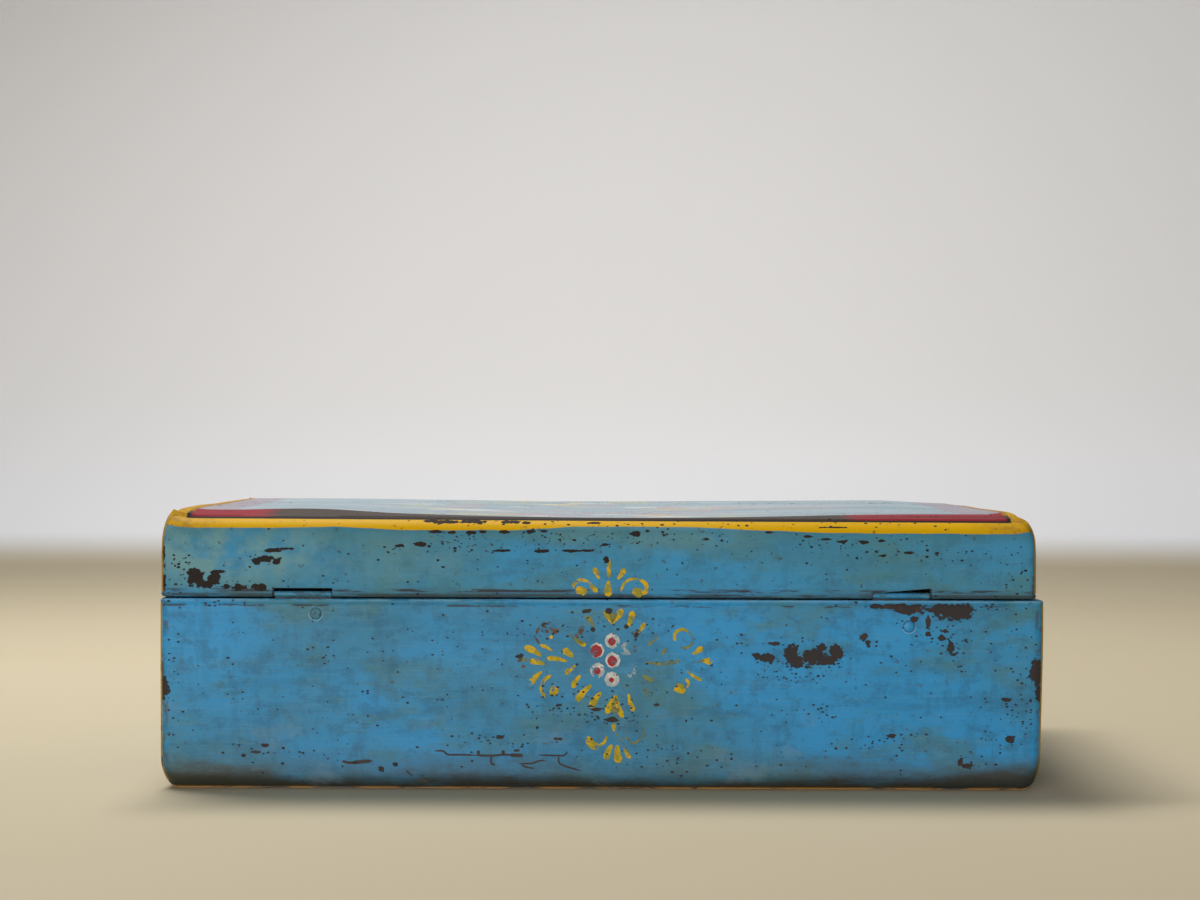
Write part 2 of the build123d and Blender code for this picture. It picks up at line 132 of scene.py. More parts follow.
def ease(t):
    """Smooth rise from 0 at 0 to 1 at 1."""
    t = min(max(t, 0.0), 1.0)
    return t * t * (3 - 2 * t)


def ripple(x, z, seed, size=60.0):
    """Slow unevenness of hand-worked sheet, from 0 to 1."""
    return 0.5 + 0.5 * noise.noise(Vector((x / size, z / size * 1.6, seed * 7.3)))


def spread(start, stop, gap):
    """Evenly spaced numbers from start to stop, both included."""
    count = max(1, round(abs(stop - start) / gap))
    return [start + (stop - start) * i / count for i in range(count + 1)]


# --- shaders ---
class Wire:
    """A shader socket; arithmetic on it adds Math nodes."""

    def __init__(self, finish, socket):
        self.finish, self.socket = finish, socket

    def __add__(self, other):
        return self.finish.math("ADD", self, other)

    __radd__ = __add__

    def __sub__(self, other):
        return self.finish.math("SUBTRACT", self, other)

    def __rsub__(self, other):
        return self.finish.math("SUBTRACT", other, self)

    def __mul__(self, other):
        return self.finish.math("MULTIPLY", self, other)

    __rmul__ = __mul__

    def also(self, key):
        """Another output of the same node."""
        return Wire(self.finish, self.socket.node.outputs[key])


class Nodes:
    """The shader nodes of a material or of the world."""

    def __init__(self, owner):
        owner.use_nodes = True
        self.owner, self.tree = owner, owner.node_tree
        self.tree.nodes.clear()

    def node(self, kind, settings, sockets, out=0):
        """Adds a node: its settings first, then the values or links of its sockets."""
        made = self.tree.nodes.new(kind)
        for key, value in settings.items():
            setattr(made, key, value)
        for key, value in sockets.items():
            if isinstance(value, Wire):
                self.tree.links.new(value.socket, made.inputs[key])
            else:
                made.inputs[key].default_value = value
        return Wire(self, made.outputs[out]) if made.outputs else None

    def math(self, operation, *values, clamp=False):
        settings = {"operation": operation, "use_clamp": clamp}
        return self.node("ShaderNodeMath", settings, dict(enumerate(values)))

    def vector(self, operation, *values, out=0):
        return self.node("ShaderNodeVectorMath", {"operation": operation}, dict(enumerate(values)), out)

    def mix(self, share, a, b):
        """Colour a where share is 0, b where it is 1."""
        sockets = {0: share, 6: colour(a), 7: colour(b)}
        return self.node("ShaderNodeMix", {"data_type": "RGBA"}, sockets, 2)

    def coated(self, tone, *coats):
        """A tone under coats of paint: each is the share that it covers and its colour."""
        for share, tint in coats:
            tone = self.mix(share, tone, tint)
        return tone


class Finish(Nodes):
    """One material being mixed."""

    def __init__(self, name):
        super().__init__(bpy.data.materials.new(name))
        at = self.node("ShaderNodeTexCoord", {}, {}, "Object")
        scale = {"Vector": at, "Scale": 1 / mm}
        self.at = self.node("ShaderNodeVectorMath", {"operation": "SCALE"}, scale)
        self.x, self.y, self.z = [self.part(self.at, i) for i in (0, 1, 2)]

    def part(self, wire, index):
        return self.node("ShaderNodeSeparateXYZ", {}, {0: wire}, index)

    def stretched(self, x, y, z):
        """The place on the object, stretched for brush marks and streaks."""
        return self.vector("MULTIPLY", self.at, (x, y, z))

    def grain(self, size, detail=3.0, rough=0.55, stretch=(1, 1, 1), seed=0.0):
        """Noise from 0 to 1 whose marks are about size millimetres."""
        place = self.stretched(*[s / size for s in stretch])
        place = self.vector("ADD", place, (seed, seed * 0.7, -seed))
        sockets = {"Vector": place, "Scale": 1.0, "Detail": detail, "Roughness": rough}
        return self.node("ShaderNodeTexNoise", {}, sockets)

    def cells(self, place, out="Distance", distance="EUCLIDEAN"):
        """Irregular cells over the object, for splinters, crumbs and spangle."""
        sockets = {"Vector": place, "Scale": 1.0}
        return self.node("ShaderNodeTexVoronoi", {"distance": distance}, sockets, out)

    def step(self, value, low, high):
        """0 below low, 1 above high, smooth between; high may be the lower one."""
        settings = {"interpolation_type": "SMOOTHSTEP", "clamp": True}
        return self.node("ShaderNodeMapRange", settings, {0: value, 1: low, 2: high, 3: 0.0, 4: 1.0})

    def band(self, value, low, high, soft):
        """1 between low and high, with edges soft wide."""
        return self.step(value, low - soft, low + soft) * self.step(value, high + soft, high - soft)

    def hinge_side(self):
        """1 on the hinge side, 0 on the others."""
        return self.step(self.y, 148, 154)

    def oval(self, x, z, half_w, half_h):
        """Distance from an oval's middle on the hinge side, 1 at its edge."""
        size, middle = (1 / half_w, 0, 1 / half_h), (-x / half_w, 0, -z / half_h)
        return self.vector("LENGTH", self.vector("MULTIPLY_ADD", self.at, size, middle), out="Value")

    def spots(self, fields):
        """Sum of soft ovals on the hinge side: (x, z, half width, half height, strength) each."""
        total = 0.0
        for x, z, half_w, half_h, strength in fields:
            near = self.math("MULTIPLY_ADD", self.oval(x, z, half_w, half_h), -1.8, 1.8, clamp=True)
            total = self.math("MULTIPLY_ADD", near, strength, total)
        return total

    def flakes(self, ovals):
        """Distance from the nearest of some ovals: (x, z, half width, half height) each."""
        nearest = far_off
        for oval in ovals:
            nearest = self.math("MINIMUM", self.oval(*oval), nearest)
        return nearest

    def crumbs(self, size, stretch, seed, share, ragged):
        """Small separate chips; share is how many of them there are, from 0 to 1."""
        place = self.stretched(*[s / size for s in stretch])
        far = self.cells(self.vector("ADD", place, (seed, seed, seed)))
        own = self.part(far.also("Color"), 0)
        there = self.step(own + share, 1.0, 1.005)
        return there * self.step(own.also(1) * 0.3 + 0.1 + ragged - far, 0.0, 0.05)

    def done(self, tone, rough, height=None, lift=0.2, metal=0.0, alpha=None, gloss=0.32):
        """The finished material; its height stands lift millimetres high."""
        sockets = {"Base Color": tone, "Roughness": rough, "Metallic": metal}
        if height is not None:
            bump = {"Strength": 1.0, "Distance": lift * mm, "Height": height}
            sockets["Normal"] = self.node("ShaderNodeBump", {}, bump)
        if alpha is not None:
            sockets["Alpha"] = alpha
        sockets["Specular IOR Level"] = gloss
        surface = self.node("ShaderNodeBsdfPrincipled", {}, sockets)
        self.node("ShaderNodeOutputMaterial", {}, {"Surface": surface})
        return self.owner


def colour(value):
    """A colour written as red, green, blue from 0 to 255 becomes the renderer's own."""
    if isinstance(value, Wire) or len(value) == 4:
        return value
    linear = []
    for part in value:
        c = part / 255
        linear.append(c / 12.92 if c <= 0.04045 else ((c + 0.055) / 1.055) ** 2.4)
    return (*linear, 1.0)


# --- paints and metals ---
blue_bright = (38, 137, 190)
blue_mid = (48, 122, 156)
blue_deep = (30, 90, 120)
blue_grey = (104, 146, 152)
blue_green = (66, 110, 108)
yellow = (206, 158, 4)
ochre = (152, 112, 34)
line_black = (42, 38, 36)
crimson = (140, 40, 50)
worn_brown = (72, 62, 56)
painted_rim_highlight = (120, 172, 200)
bare_plate = (46, 40, 38)
bare_rust = (80, 50, 36)
foot_dark_tint = (52, 46, 30)
olive = (84, 100, 60)
stain_brown = (74, 58, 46)
low_dark_tint = (66, 84, 78)
foot_gold = (170, 120, 30)
mist_grey = (120, 136, 142)
painted_rivet_shade = (22, 58, 78)
painted_rivet_highlight = (112, 164, 196)
painted_hem_shade = (52, 74, 80)
hem_dirt = (56, 54, 46)
pale_paint = (158, 172, 178)
pale_streak = (132, 152, 162)
pale_light = (192, 194, 188)
pale_pink = (184, 148, 146)
crimson_end_sheen = (156, 122, 130)
blooms = {115: (196, 140, 140), 119: (206, 186, 96), 121: (214, 214, 208)}  # by grain seed
tin_light = (132, 128, 118)
tin_dark = (104, 102, 96)
tin_haze = (92, 80, 66)
tin_rust = (96, 60, 38)
iron_rust = (104, 62, 38)
far_off = 9.0  # a distance past every flake's edge

yellow_low = 150.6  # lower edge of the lid's yellow border
border_x = 238.3  # end of the black line from the lid's middle
border_back = 155.2
border_front = 154.0
line_w = 3.3
line_end_w = 2.4
strip_w = 27.0  # black line and coloured strip together
brush_edge = 0.3  # softness of a painted edge
# How far the yellow border's lower edge wanders: x, z, half width, half height, rise.
border_waves = [
    (85, 150, 70, 90, -1.7), (-210, 150, 160, 90, -3.0), (-20, 150, 50, 90, 0.5), (215, 150, 60, 90, -0.7),
]
lid_faded = [(214, 138, 70, 26, 0.85), (-30, 150, 90, 16, 0.4), (120, 132, 60, 20, 0.3)]
bloom_field = [(20, 158, 130, 90, 1)]

# Paint lost on the hinge side. Flakes: x, z, half width, half height.
body_flakes = [
    (-201, 102.6, 11.5, 4.6), (-193, 104.5, 7, 3), (-208, 104, 5, 3.4), (-170, 106, 17, 1.6),
    (-177, 104, 9, 2.6), (-179, 98.4, 2.4, 2), (-187, 97, 1.5, 4), (-187, 90, 1.8, 1.6),
    (-197, 92, 1.6, 1.4), (-195, 87.6, 2.2, 2), (-200, 83, 2, 4.5), (-149.5, 88.8, 2.6, 2.4),
    (-152.5, 84.5, 1.6, 2), (-95, 76, 6, 2.8), (-109, 77.5, 4.5, 6.6), (-112, 74, 6, 4),
    (-121.5, 77, 7, 4.6), (-129.5, 75, 7, 3.6), (-134.5, 79.5, 4.6, 4.4), (-126, 82, 3, 2.4),
    (-88, 77.8, 3, 2), (-99, 84.6, 3.6, 1.2), (-249.5, 68.5, 4.6, 8.5), (-250.5, 56, 2.2, 5),
    (253, 57, 5.4, 7.4), (254, 68, 3, 8), (-234, 30, 2.8, 2.8),
    (-232, 52.6, 3.4, 1.2), (-210, 14.8, 4, 1.6), (-206, 17, 2, 2.4), (-166, 31.5, 3.2, 1.4),
    (8.5, 102.8, 2.6, 1.4), (-4.2, 103, 2.2, 2), (-14, 94, 1.4, 1.4), (-6, 40.6, 3.4, 1.6),
    (3, 46.4, 2.6, 1.1), (-31.6, 49, 1.8, 0.9), (5.2, 92.3, 1.8, 1.4), (47, 76.6, 2.4, 1.6),
    (-19.6, 89, 1.4, 2.4), (126, 12, 1.8, 1.6), (118, 14.6, 2, 1.4), (198, 21.4, 3, 0.9), (205, 19.3, 1.4, 1),
]
# Crumbs: x, z, half width, half height, share.
body_crumbs = [
    (-115, 69, 34, 9, 0.95), (-104, 84, 32, 5, 0.5), (-190, 92, 26, 16, 0.35), (-205, 78, 10, 14, 0.5),
    (-120, 45, 26, 7, 0.45), (-165, 28, 34, 9, 0.6), (-214, 16, 16, 6, 0.5), (8, 46, 26, 5, 0.6),
    (-6, 42, 22, 5, 0.7), (22, 52, 40, 12, 0.25), (-16, 92, 34, 12, 0.3), (34, 92, 22, 8, 0.4),
    (200, 24, 20, 5, 0.6), (165, 20, 30, 4, 0.35), (156, 74, 5, 18, 0.4), (60, 29, 34, 5, 0.5),
    (-240, 60, 12, 46, 0.3), (246, 60, 8, 50, 0.18), (230, 106, 40, 4, 0.35), (0, 60, 270, 62, 0.04),
    (-215, 106, 34, 3, 0.4), (-40, 20, 40, 14, 0.25), (-225, 40, 20, 20, 0.2),
]
lid_flakes = [
    (233.2, 121.6, 5.6, 5), (223, 120.6, 4.6, 4), (227.6, 118, 6, 2.6), (219.6, 124.8, 4, 0.9),
    (215.6, 116.2, 3, 1.4), (208.5, 115.6, 5, 1.9), (196.8, 115.8, 4.6, 2.2), (189, 137, 6.6, 1.1),
    (182, 138, 5, 0.8), (193.5, 132.2, 6.6, 1.8), (198.4, 130.9, 2.4, 2.2), (187, 130.6, 2.6, 1.6),
    (251.6, 119, 1.6, 4), (252, 135, 1.2, 7), (96, 148, 4.4, 1.2), (86.6, 147.6, 2.4, 1.1),
    (75, 147.6, 3.4, 1.2), (68, 148, 2.4, 0.9), (56, 148, 3.6, 1), (41, 148.4, 3, 0.8), (33, 148.4, 3, 0.8),
    (90, 153.4, 9, 1), (74, 153.6, 8, 1.2), (98, 153.8, 5, 0.7), (53, 153.4, 7, 0.9), (44, 153, 2.6, 0.8),
    (5, 153, 3.4, 0.6), (57, 137.2, 6, 0.8), (34, 137, 5, 1), (17, 137.2, 6, 0.8), (8, 137.4, 4, 0.7),
    (-19, 147, 3, 1.8), (-2.6, 132.4, 1.6, 2.4), (-150, 142.6, 3, 1.1), (-160, 143.4, 2.4, 1),
    (-118, 145.8, 3, 0.9), (-128, 144.2, 4, 0.8), (-138, 143, 3, 0.9), (-96, 148.2, 3, 0.7),
    (104, 140.6, 3.6, 1.4), (116, 139.8, 3, 1), (-132, 151, 8, 0.5), (-176, 136.6, 3, 0.9),
]
lid_crumbs = [
    (70, 142, 44, 5, 0.75), (20, 143, 50, 5, 0.6), (100, 138, 34, 5, 0.45), (40, 137.4, 50, 1.8, 0.8),
    (-30, 144, 60, 7, 0.45), (-125, 141, 34, 6, 0.5), (-165, 138, 36, 8, 0.5), (-210, 135, 20, 6, 0.35),
    (200, 133, 26, 8, 0.45), (212, 117, 24, 5, 0.6), (244, 125, 12, 22, 0.4), (-240, 126, 12, 24, 0.35),
    (0, 146.5, 130, 2.4, 0.5), (-60, 152.5, 180, 2.2, 0.3), (0, 132, 270, 26, 0.04),
]


def blue_paint(f, dust):
    """Blue tin paint, brushed along the sheet, with greener and darker passages."""
    broad = f.grain(150, 2, seed=3, stretch=(1, 1, 1.8))
    streak = f.grain(11, 5, 0.66, (0.1, 0.1, 1), 11)
    hair = f.grain(1.5, 2, 0.5, (0.06, 0.06, 1), 5)
    dabs = f.grain(5, 4, 0.62, (0.6, 0.6, 0.16), 15)
    smear = f.grain(42, 6, 0.66, (0.6, 0.6, 1.3), 21)
    cloud = f.grain(30, 6, 0.7, (0.8, 0.8, 1), 31)
    mottle = f.grain(8, 6, 0.74, (0.7, 0.7, 1), 37)
    tone = f.coated(
        f.mix(f.step(broad, 0.38, 0.6), blue_mid, blue_bright),
        (f.step(streak, 0.5, 0.68) * 0.3, blue_deep),
        (f.step(smear, 0.48, 0.64) * 0.65, blue_green),
        (f.step(cloud, 0.53, 0.68) * 0.45, blue_deep),
        (f.step(mottle, 0.5, 0.62) * 0.42, blue_deep),
        (f.step(mottle, 0.47, 0.34) * 0.3, blue_bright),
        (f.step(dabs, 0.5, 0.66) * 0.26, blue_deep),
        (f.step(hair, 0.52, 0.7) * 0.12, blue_grey),
        (dust, blue_grey),
    )
    return tone, streak, hair


def chipped(f, flakes, crumbs):
    """Where the paint has come off: ragged flakes in the given ovals and crumbs around them."""
    on_back = f.hinge_side()
    ragged = f.grain(3.4, 6, 0.72, (0.6, 0.6, 1), 41) - 0.5
    splinter = f.cells(f.stretched(0.36, 0.36, 0.5), distance="CHEBYCHEV") - 0.36
    far = f.flakes(flakes) + ragged * 1.6 + splinter * 0.85 + (1 - on_back) * far_off
    patchy = f.step(f.grain(70, 3, seed=43), 0.5, 0.66) * (1 - on_back) * 0.45
    share = f.spots(crumbs) * on_back + patchy + 0.03
    small = f.crumbs(2.0, (0.7, 0.7, 1), 47, share * 1.5, ragged)
    large = f.crumbs(4.2, (0.5, 0.5, 1), 59, (share - 0.3) * 0.5, ragged)
    return f.math("MAXIMUM", f.step(far, 1.0, 0.95), f.math("MAXIMUM", small, large))


def bare(f):
    """Oxidised plate that shows in the chips."""
    return f.mix(f.step(f.grain(7, 5, 0.65, seed=53), 0.54, 0.68) * 0.5, bare_plate, bare_rust)


def gold_paint(f, dull):
    """The yellow of borders and hems; dull is how far it has gone to ochre."""
    rub = f.step(f.grain(6, 5, 0.65, seed=67), 0.42, 0.62)
    return f.mix(dull * (rub * 0.5 + 0.35), yellow, ochre)


def finished_paint(f, tone, streak, hair, chips, gloss=0.26):
    """Chips, small stains, brush marks and satin gloss over a painted sheet."""
    stains = f.step(f.grain(4.2, 4, 0.6, seed=97), 0.64, 0.7) * 0.6
    tone = f.coated(tone, (stains, stain_brown), (chips, bare(f)))
    rough = 0.42 + streak * 0.16 + chips * 0.2
    return f.done(tone, rough, streak * 0.35 + hair * 0.25 - chips, 0.22, gloss=gloss)


def corner_rub(f, off_centre):
    """Paint worn through along the upright corners."""
    ends = f.step(f.math("ABSOLUTE", f.x - off_centre), 247.6, 249.2)
    corner = f.step(f.math("ABSOLUTE", f.y), 152, 160) * ends
    return corner * f.step(f.grain(5, 5, 0.62, (1, 1, 0.6), 89), 0.5, 0.6) * 0.65


def body_paint():
    """Blue sides, darker towards the foot, with painted shade and highlight rings round the hinge rivets and
    a painted highlight along the rim bead.
    """
    f = Finish("blue_body_paint")
    tone, streak, hair = blue_paint(f, 0.0)
    crease = f.grain(4, 5, 0.66, (0.16, 0.16, 1), 73)
    from_rivet = f.flakes([(x, z, 1, 1) for x, z in hinge_rivet_places]) + (1 - f.hinge_side()) * far_off
    rivet_highlight_share = f.step(f.z - f.x * 0.0188, 99.5, 95.5) * 0.6 + 0.2  # stronger under each rivet
    dark_edge_wander = f.grain(26, 6, 0.7, (0.3, 0.3, 1), 79) - 0.5
    ends = f.step(f.math("ABSOLUTE", f.x + 14), 175, 245) * 5
    mist = f.step(f.grain(26, 5, 0.68, (0.6, 0.6, 1), 83), 0.54, 0.7) * f.step(f.z, 70, 20)
    tone = f.coated(
        tone,
        (f.band(f.z, 104.9, 106.3, 0.3) * f.step(crease, 0.5, 0.56) * 0.8, bare_plate),
        # Painted highlight along the top of the rim bead, broken by noise.
        (f.band(f.z, 108.3, 109.3, 0.3) * f.step(crease, 0.36, 0.5) * 0.6, painted_rim_highlight),
        # Painted shade ring at the foot of each rivet head, then a painted highlight ring outside it.
        (f.band(from_rivet, 3.0, 3.6, 0.25) * 0.7, painted_rivet_shade),
        (f.band(from_rivet, 3.7, 4.2, 0.35) * rivet_highlight_share, painted_rivet_highlight),
        # Darker towards the foot in two layers, reaching higher near the ends.
        (f.step(f.z + dark_edge_wander * 46, 24, 6) * 0.55, low_dark_tint),
        (f.step(f.z + dark_edge_wander * 26 - ends, 11, 1) * 0.92, foot_dark_tint),
        (f.step(f.z, 2.2, 1.2) * f.step(crease, 0.4, 0.5) * 0.7, foot_gold),
        (mist * 0.28, mist_grey),
        (corner_rub(f, 0.0), worn_brown),
    )
    return finished_paint(f, tone, streak, hair, chipped(f, body_flakes, body_crumbs))


def top_panel(f, across):
    """The pale panel on the lid's top, with faded blooms in its middle."""
    brushed = f.grain(9, 5, 0.62, (0.06, 1, 1), 107)
    pale = f.coated(
        f.mix(f.step(brushed, 0.42, 0.66), pale_paint, pale_streak),
        (f.step(f.grain(20, 3, 0.6, (0.12, 1, 1), 109), 0.54, 0.7) * 0.6, pale_light),
        (f.step(f.grain(34, 3, 0.6, (0.2, 1, 1), 113), 0.57, 0.7) * 0.35, pale_pink),
        # Pale mauve at the panel's ends: the crimson end border, with a painted sheen washing it pale.
        (f.step(across, border_x - strip_w, border_x - strip_w + 4) * 0.45, crimson_end_sheen),
    )
    middle = f.spots(bloom_field)
    for seed, tint in blooms.items():
        bloom = f.step(f.grain(30, 4, 0.6, (0.6, 1, 1), seed), 0.56, 0.64)
        pale = f.mix(bloom * middle * 0.6, pale, tint)
    return pale


def lid_paint():
    """Blue sides under a yellow border; black line, coloured strip and pale panel on top."""
    f = Finish("lid_paint")
    faded = f.spots(lid_faded) * f.hinge_side() * f.step(f.grain(18, 5, 0.66, seed=75), 0.3, 0.6)
    tone, streak, hair = blue_paint(f, faded + 0.25)
    along_hem = f.grain(5, 5, 0.68, (0.1, 0.1, 1), 71)
    from_slot = f.math("ABSOLUTE", f.x) - hinge_x - slot_half
    # Painted shade, in the black line's colour, along the sides of the hinge slots.
    slot_edge_shade = f.band(from_slot, 0, 1, 0.25) * f.step(f.z, slot_top + 0.9, slot_top + 0.3)
    wobble = (f.grain(26, 3, seed=61) - 0.5) * 1.6
    across = f.math("ABSOLUTE", f.x - lid.shift)
    curl = f.step(across, 236, 250) * 1.2
    border = f.z + wobble - f.spots(border_waves) - curl
    tone = f.coated(
        tone,
        # Painted shade on the lower side of the lid's rim bead, above the gap to the body.
        (f.step(f.z, 113.4, 112) * 0.35, painted_hem_shade),
        (f.band(f.z, 110.4, 112.4, 0.4) * f.step(along_hem, 0.4, 0.5) * 0.7, hem_dirt),
        (f.band(f.z, 113.4, 115, 0.3) * f.step(along_hem, 0.48, 0.54) * 0.85, bare_plate),
        (f.band(f.z, 112, 115.6, 1.2) * f.step(along_hem, 0.36, 0.62) * 0.4, worn_brown),
        (slot_edge_shade * f.step(f.y, 150, 154) * 0.85, line_black),
        (f.step(f.z + wobble, 138, 149) * 0.3, blue_green),
        (corner_rub(f, lid.shift), worn_brown),
        (
            f.step(border, yellow_low - brush_edge, yellow_low + brush_edge),
            gold_paint(f, f.step(across, 205, 246)),
        ),
    )
    from_sides = f.math("MINIMUM", border_back - f.y, f.y + border_front) + wobble * 0.3
    from_ends = border_x - across
    along = f.grain(16, 4, 0.6, (0.05, 1, 1), 103)
    strip = f.step(across + (along - 0.5) * 30 - f.x * 0.13, 158, 172)
    strip = f.coated(worn_brown, (strip, crimson), (f.step(along, 0.5, 0.7) * 0.45, line_black))
    on_top = f.step(f.z, yellow_low + 2, yellow_low + 3)
    lined = f.step(f.math("MINIMUM", from_ends, from_sides), -brush_edge, brush_edge) * on_top
    within = f.math("MINIMUM", from_ends - line_end_w, from_sides - line_w)
    panel = f.math("MINIMUM", from_sides - strip_w, from_ends - line_end_w)
    tone = f.coated(
        tone,
        (lined * (1 - f.step(from_sides, 8, 20) * 0.6), line_black),
        (f.step(within, -brush_edge, brush_edge) * on_top, strip),
        (f.step(panel, -0.5, 0.5) * on_top, top_panel(f, across)),
    )
    return finished_paint(f, tone, streak, hair, chipped(f, lid_flakes, lid_crumbs), 0.05)


def hem_paint():
    """Dulled yellow on the folded hems at the upright corners."""
    f = Finish("yellow_hem_paint")
    chips = f.step(f.grain(4, 5, 0.62, (1, 1, 0.4), 127), 0.6, 0.63)
    tone = f.mix(0.35, gold_paint(f, 0.8), olive)
    # Darker towards the foot.
    tone = f.coated(tone, (f.step(f.z, 30, 5) * 0.3, foot_dark_tint), (chips, bare(f)))
    return f.done(tone, 0.42 + chips * 0.15, 0 - chips, 0.15)


def inner_tin():
    """Unpainted tin inside: dull, mottled, with rust along the creases."""
    f = Finish("inner_tin")
    spangle = f.part(f.cells(f.stretched(0.09, 0.09, 0.09), "Color"), 0)
    haze = f.grain(45, 5, 0.6, seed=131)
    rust = f.step(f.grain(14, 6, 0.68, seed=137), 0.57, 0.66)
    tone = f.mix(spangle * 0.35, tin_light, tin_dark)
    tone = f.coated(tone, (f.step(haze, 0.42, 0.66) * 0.6, tin_haze), (rust * 0.8, tin_rust))
    return f.done(tone, 0.42 + rust * 0.35, haze * 0.4 + rust * 0.3, 0.12, 0.55 - rust * 0.5)


def steel(name, light, dark, rusty, metallic):
    """Bare iron or steel fittings: handled bright places, dark scale and rust."""
    f = Finish(name)
    scale = f.grain(6, 5, 0.62, seed=139)
    rust = f.step(f.grain(9, 6, 0.7, seed=149), 0.56 - rusty * 0.1, 0.68 - rusty * 0.1)
    tone = f.coated(light, (f.step(scale, 0.4, 0.62), dark), (rust, iron_rust))
    pits = f.grain(1.4, 3, 0.6, seed=151)
    return f.done(tone, 0.38 + rust * 0.4, pits * 0.5 + rust * 0.5, 0.12, metallic - rust * metallic)


def hinge_paint():
    """Blue paint brushed over the hinges and their rivets, rubbed dark at the edges."""
    f = Finish("blue_hinge_paint")
    tone, streak, hair = blue_paint(f, 0.0)
    rub = f.step(f.grain(3, 5, 0.62, (0.5, 1, 1), 157), 0.5, 0.6)
    inside = f.step(f.y, 163.2, 162.4)
    tone = f.mix(f.math("MAXIMUM", rub * 0.5, inside), tone, bare(f))
    return f.done(tone, 0.44 + rub * 0.15, streak * 0.4 - rub * 0.5, 0.15)


def folk_paint(name, colours, thinned, wear):
    """Brushed ornament paint that has thinned and chipped with the sheet under it."""
    f = Finish(f"folk_{name}")
    brush = f.grain(2.4, 3, 0.6, (0.6, 1, 0.6), 163)
    thin = f.grain(3.6, 5, 0.7, seed=167)
    tone = f.mix(f.step(brush, 0.4, 0.6), *colours)
    gone = f.math("MAXIMUM", f.step(thin, thinned + 0.03, thinned - 0.03), chipped(f, *wear))
    return f.done(tone, 0.46, brush * 0.4, 0.1, alpha=1 - gone, gloss=0.12)


paints = {"body": body_paint(), "lid": lid_paint(), "hem": hem_paint(), "inner": inner_tin()}
wire_iron = steel("rusty_wire", (96, 88, 80), (62, 54, 48), 0.9, 0.7)
handle_iron = steel("handle_iron", (84, 78, 74), (52, 46, 42), 0.6, 0.75)
fitting_steel = steel("fitting_steel", (132, 128, 122), (92, 88, 84), 0.2, 0.8)
rivet_steel = steel("rivet_steel", (124, 118, 110), (84, 78, 72), 0.4, 0.75)


# --- making meshes ---
def put(name, data, place=(0, 0, 0)):
    """Adds an object that shows this mesh, lamp or camera."""
    thing = bpy.data.objects.new(name, data)
    thing.location = place
    bpy.context.scene.collection.objects.link(thing)
    return thing


def make_piece(name, points, faces, materials, body, outward=None, kinds=None):
    """A mesh in millimetres; outward gives it a thickness, behind the faces that face that way."""
    mesh = bpy.data.meshes.new(name)
    mesh.from_pydata([[part * mm for part in point] for point in points], [], faces)
    for index, kind in enumerate(kinds or []):
        mesh.polygons[index].material_index = kind
    work = bmesh.new()
    work.from_mesh(mesh)
    bmesh.ops.remove_doubles(work, verts=work.verts, dist=0.02 * mm)
    bmesh.ops.recalc_face_normals(work, faces=work.faces)
    if outward:
        place, direction = Vector(outward[0]) * mm, Vector(outward[1])
        nearest = min(work.faces, key=lambda face: (face.calc_center_median() - place).length)
        if nearest.normal.dot(direction) < 0:
            bmesh.ops.reverse_faces(work, faces=work.faces)
    work.to_mesh(mesh)
    work.free()
    mesh.shade_smooth()
    piece = put(name, mesh)
    for material in materials:
        mesh.materials.append(material)
    if outward:
        solid = piece.modifiers.new("sheet", "SOLIDIFY")
        solid.thickness, solid.offset = sheet * mm, -1
        solid.material_offset = len(materials) // 2
        solid.material_offset_rim = 0
        solid.use_even_offset = True
        view = bpy.context.evaluated_depsgraph_get()
        thick = bpy.data.meshes.new_from_object(piece.evaluated_get(view))
        piece.modifiers.clear()
        piece.data = thick
        thick.set_sharp_from_angle(angle=radians(38))
    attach(piece, body)
    return piece


def near_end(x):
    """0 in the trunk's middle, 1 at its ends."""
    return ease((abs(x) - end_from) / end_run)


def quad(row, column, wide, start=0):
    """Corners of one face in a grid of points that is wide points across."""
    first = start + row * wide + column
    return first, first + 1, first + wide + 1, first + wide


def sunk_by(x):
    """How far the lid's top has sunk along its hinge side, a little inward of it, and in front."""
    sag = cos(min(abs(x) / sag_half, 1) * pi / 2) ** 2
    at_seam = lid.wrap_z - (seam_z + lid_tilt * x - seam_sag * sag)
    raised = knee * ease(1 - abs(x - knee_x) / knee_half)
    behind = lid.wrap_z - (ridge_z + lid_tilt * x - ridge_sag * sag + raised)
    in_front = front_sag * sag + corner_fall * ease((-x - corner_x) / corner_run)
    return at_seam, behind, in_front


def oval_corner(x, from_flat, half, bend, wide, tall):
    """Turns the round bend at an end into an oval one: returns the new distance from the middle."""
    height = min(max(from_flat, 0.0), tall)
    was = half - bend + sqrt(max(bend**2 - max(bend - height, 0) ** 2, 0))
    flat = (tall - height) / tall
    now = half - wide + wide * sqrt(max(1 - flat * flat, 0))
    return x + copysign(1, x) * (now - was) * near_end(x)


def foot_shape(x, z):
    """The body's foot corners are oval and its ends lean in: returns the new x."""
    lean = (lean_left if x < 0 else lean_right) * ease((98 - z) / 90) * near_end(x)
    x = oval_corner(x, z, box.wrap_half, box.wrap_bend, foot_corner_w, foot_corner_h)
    return x - copysign(1, x) * lean


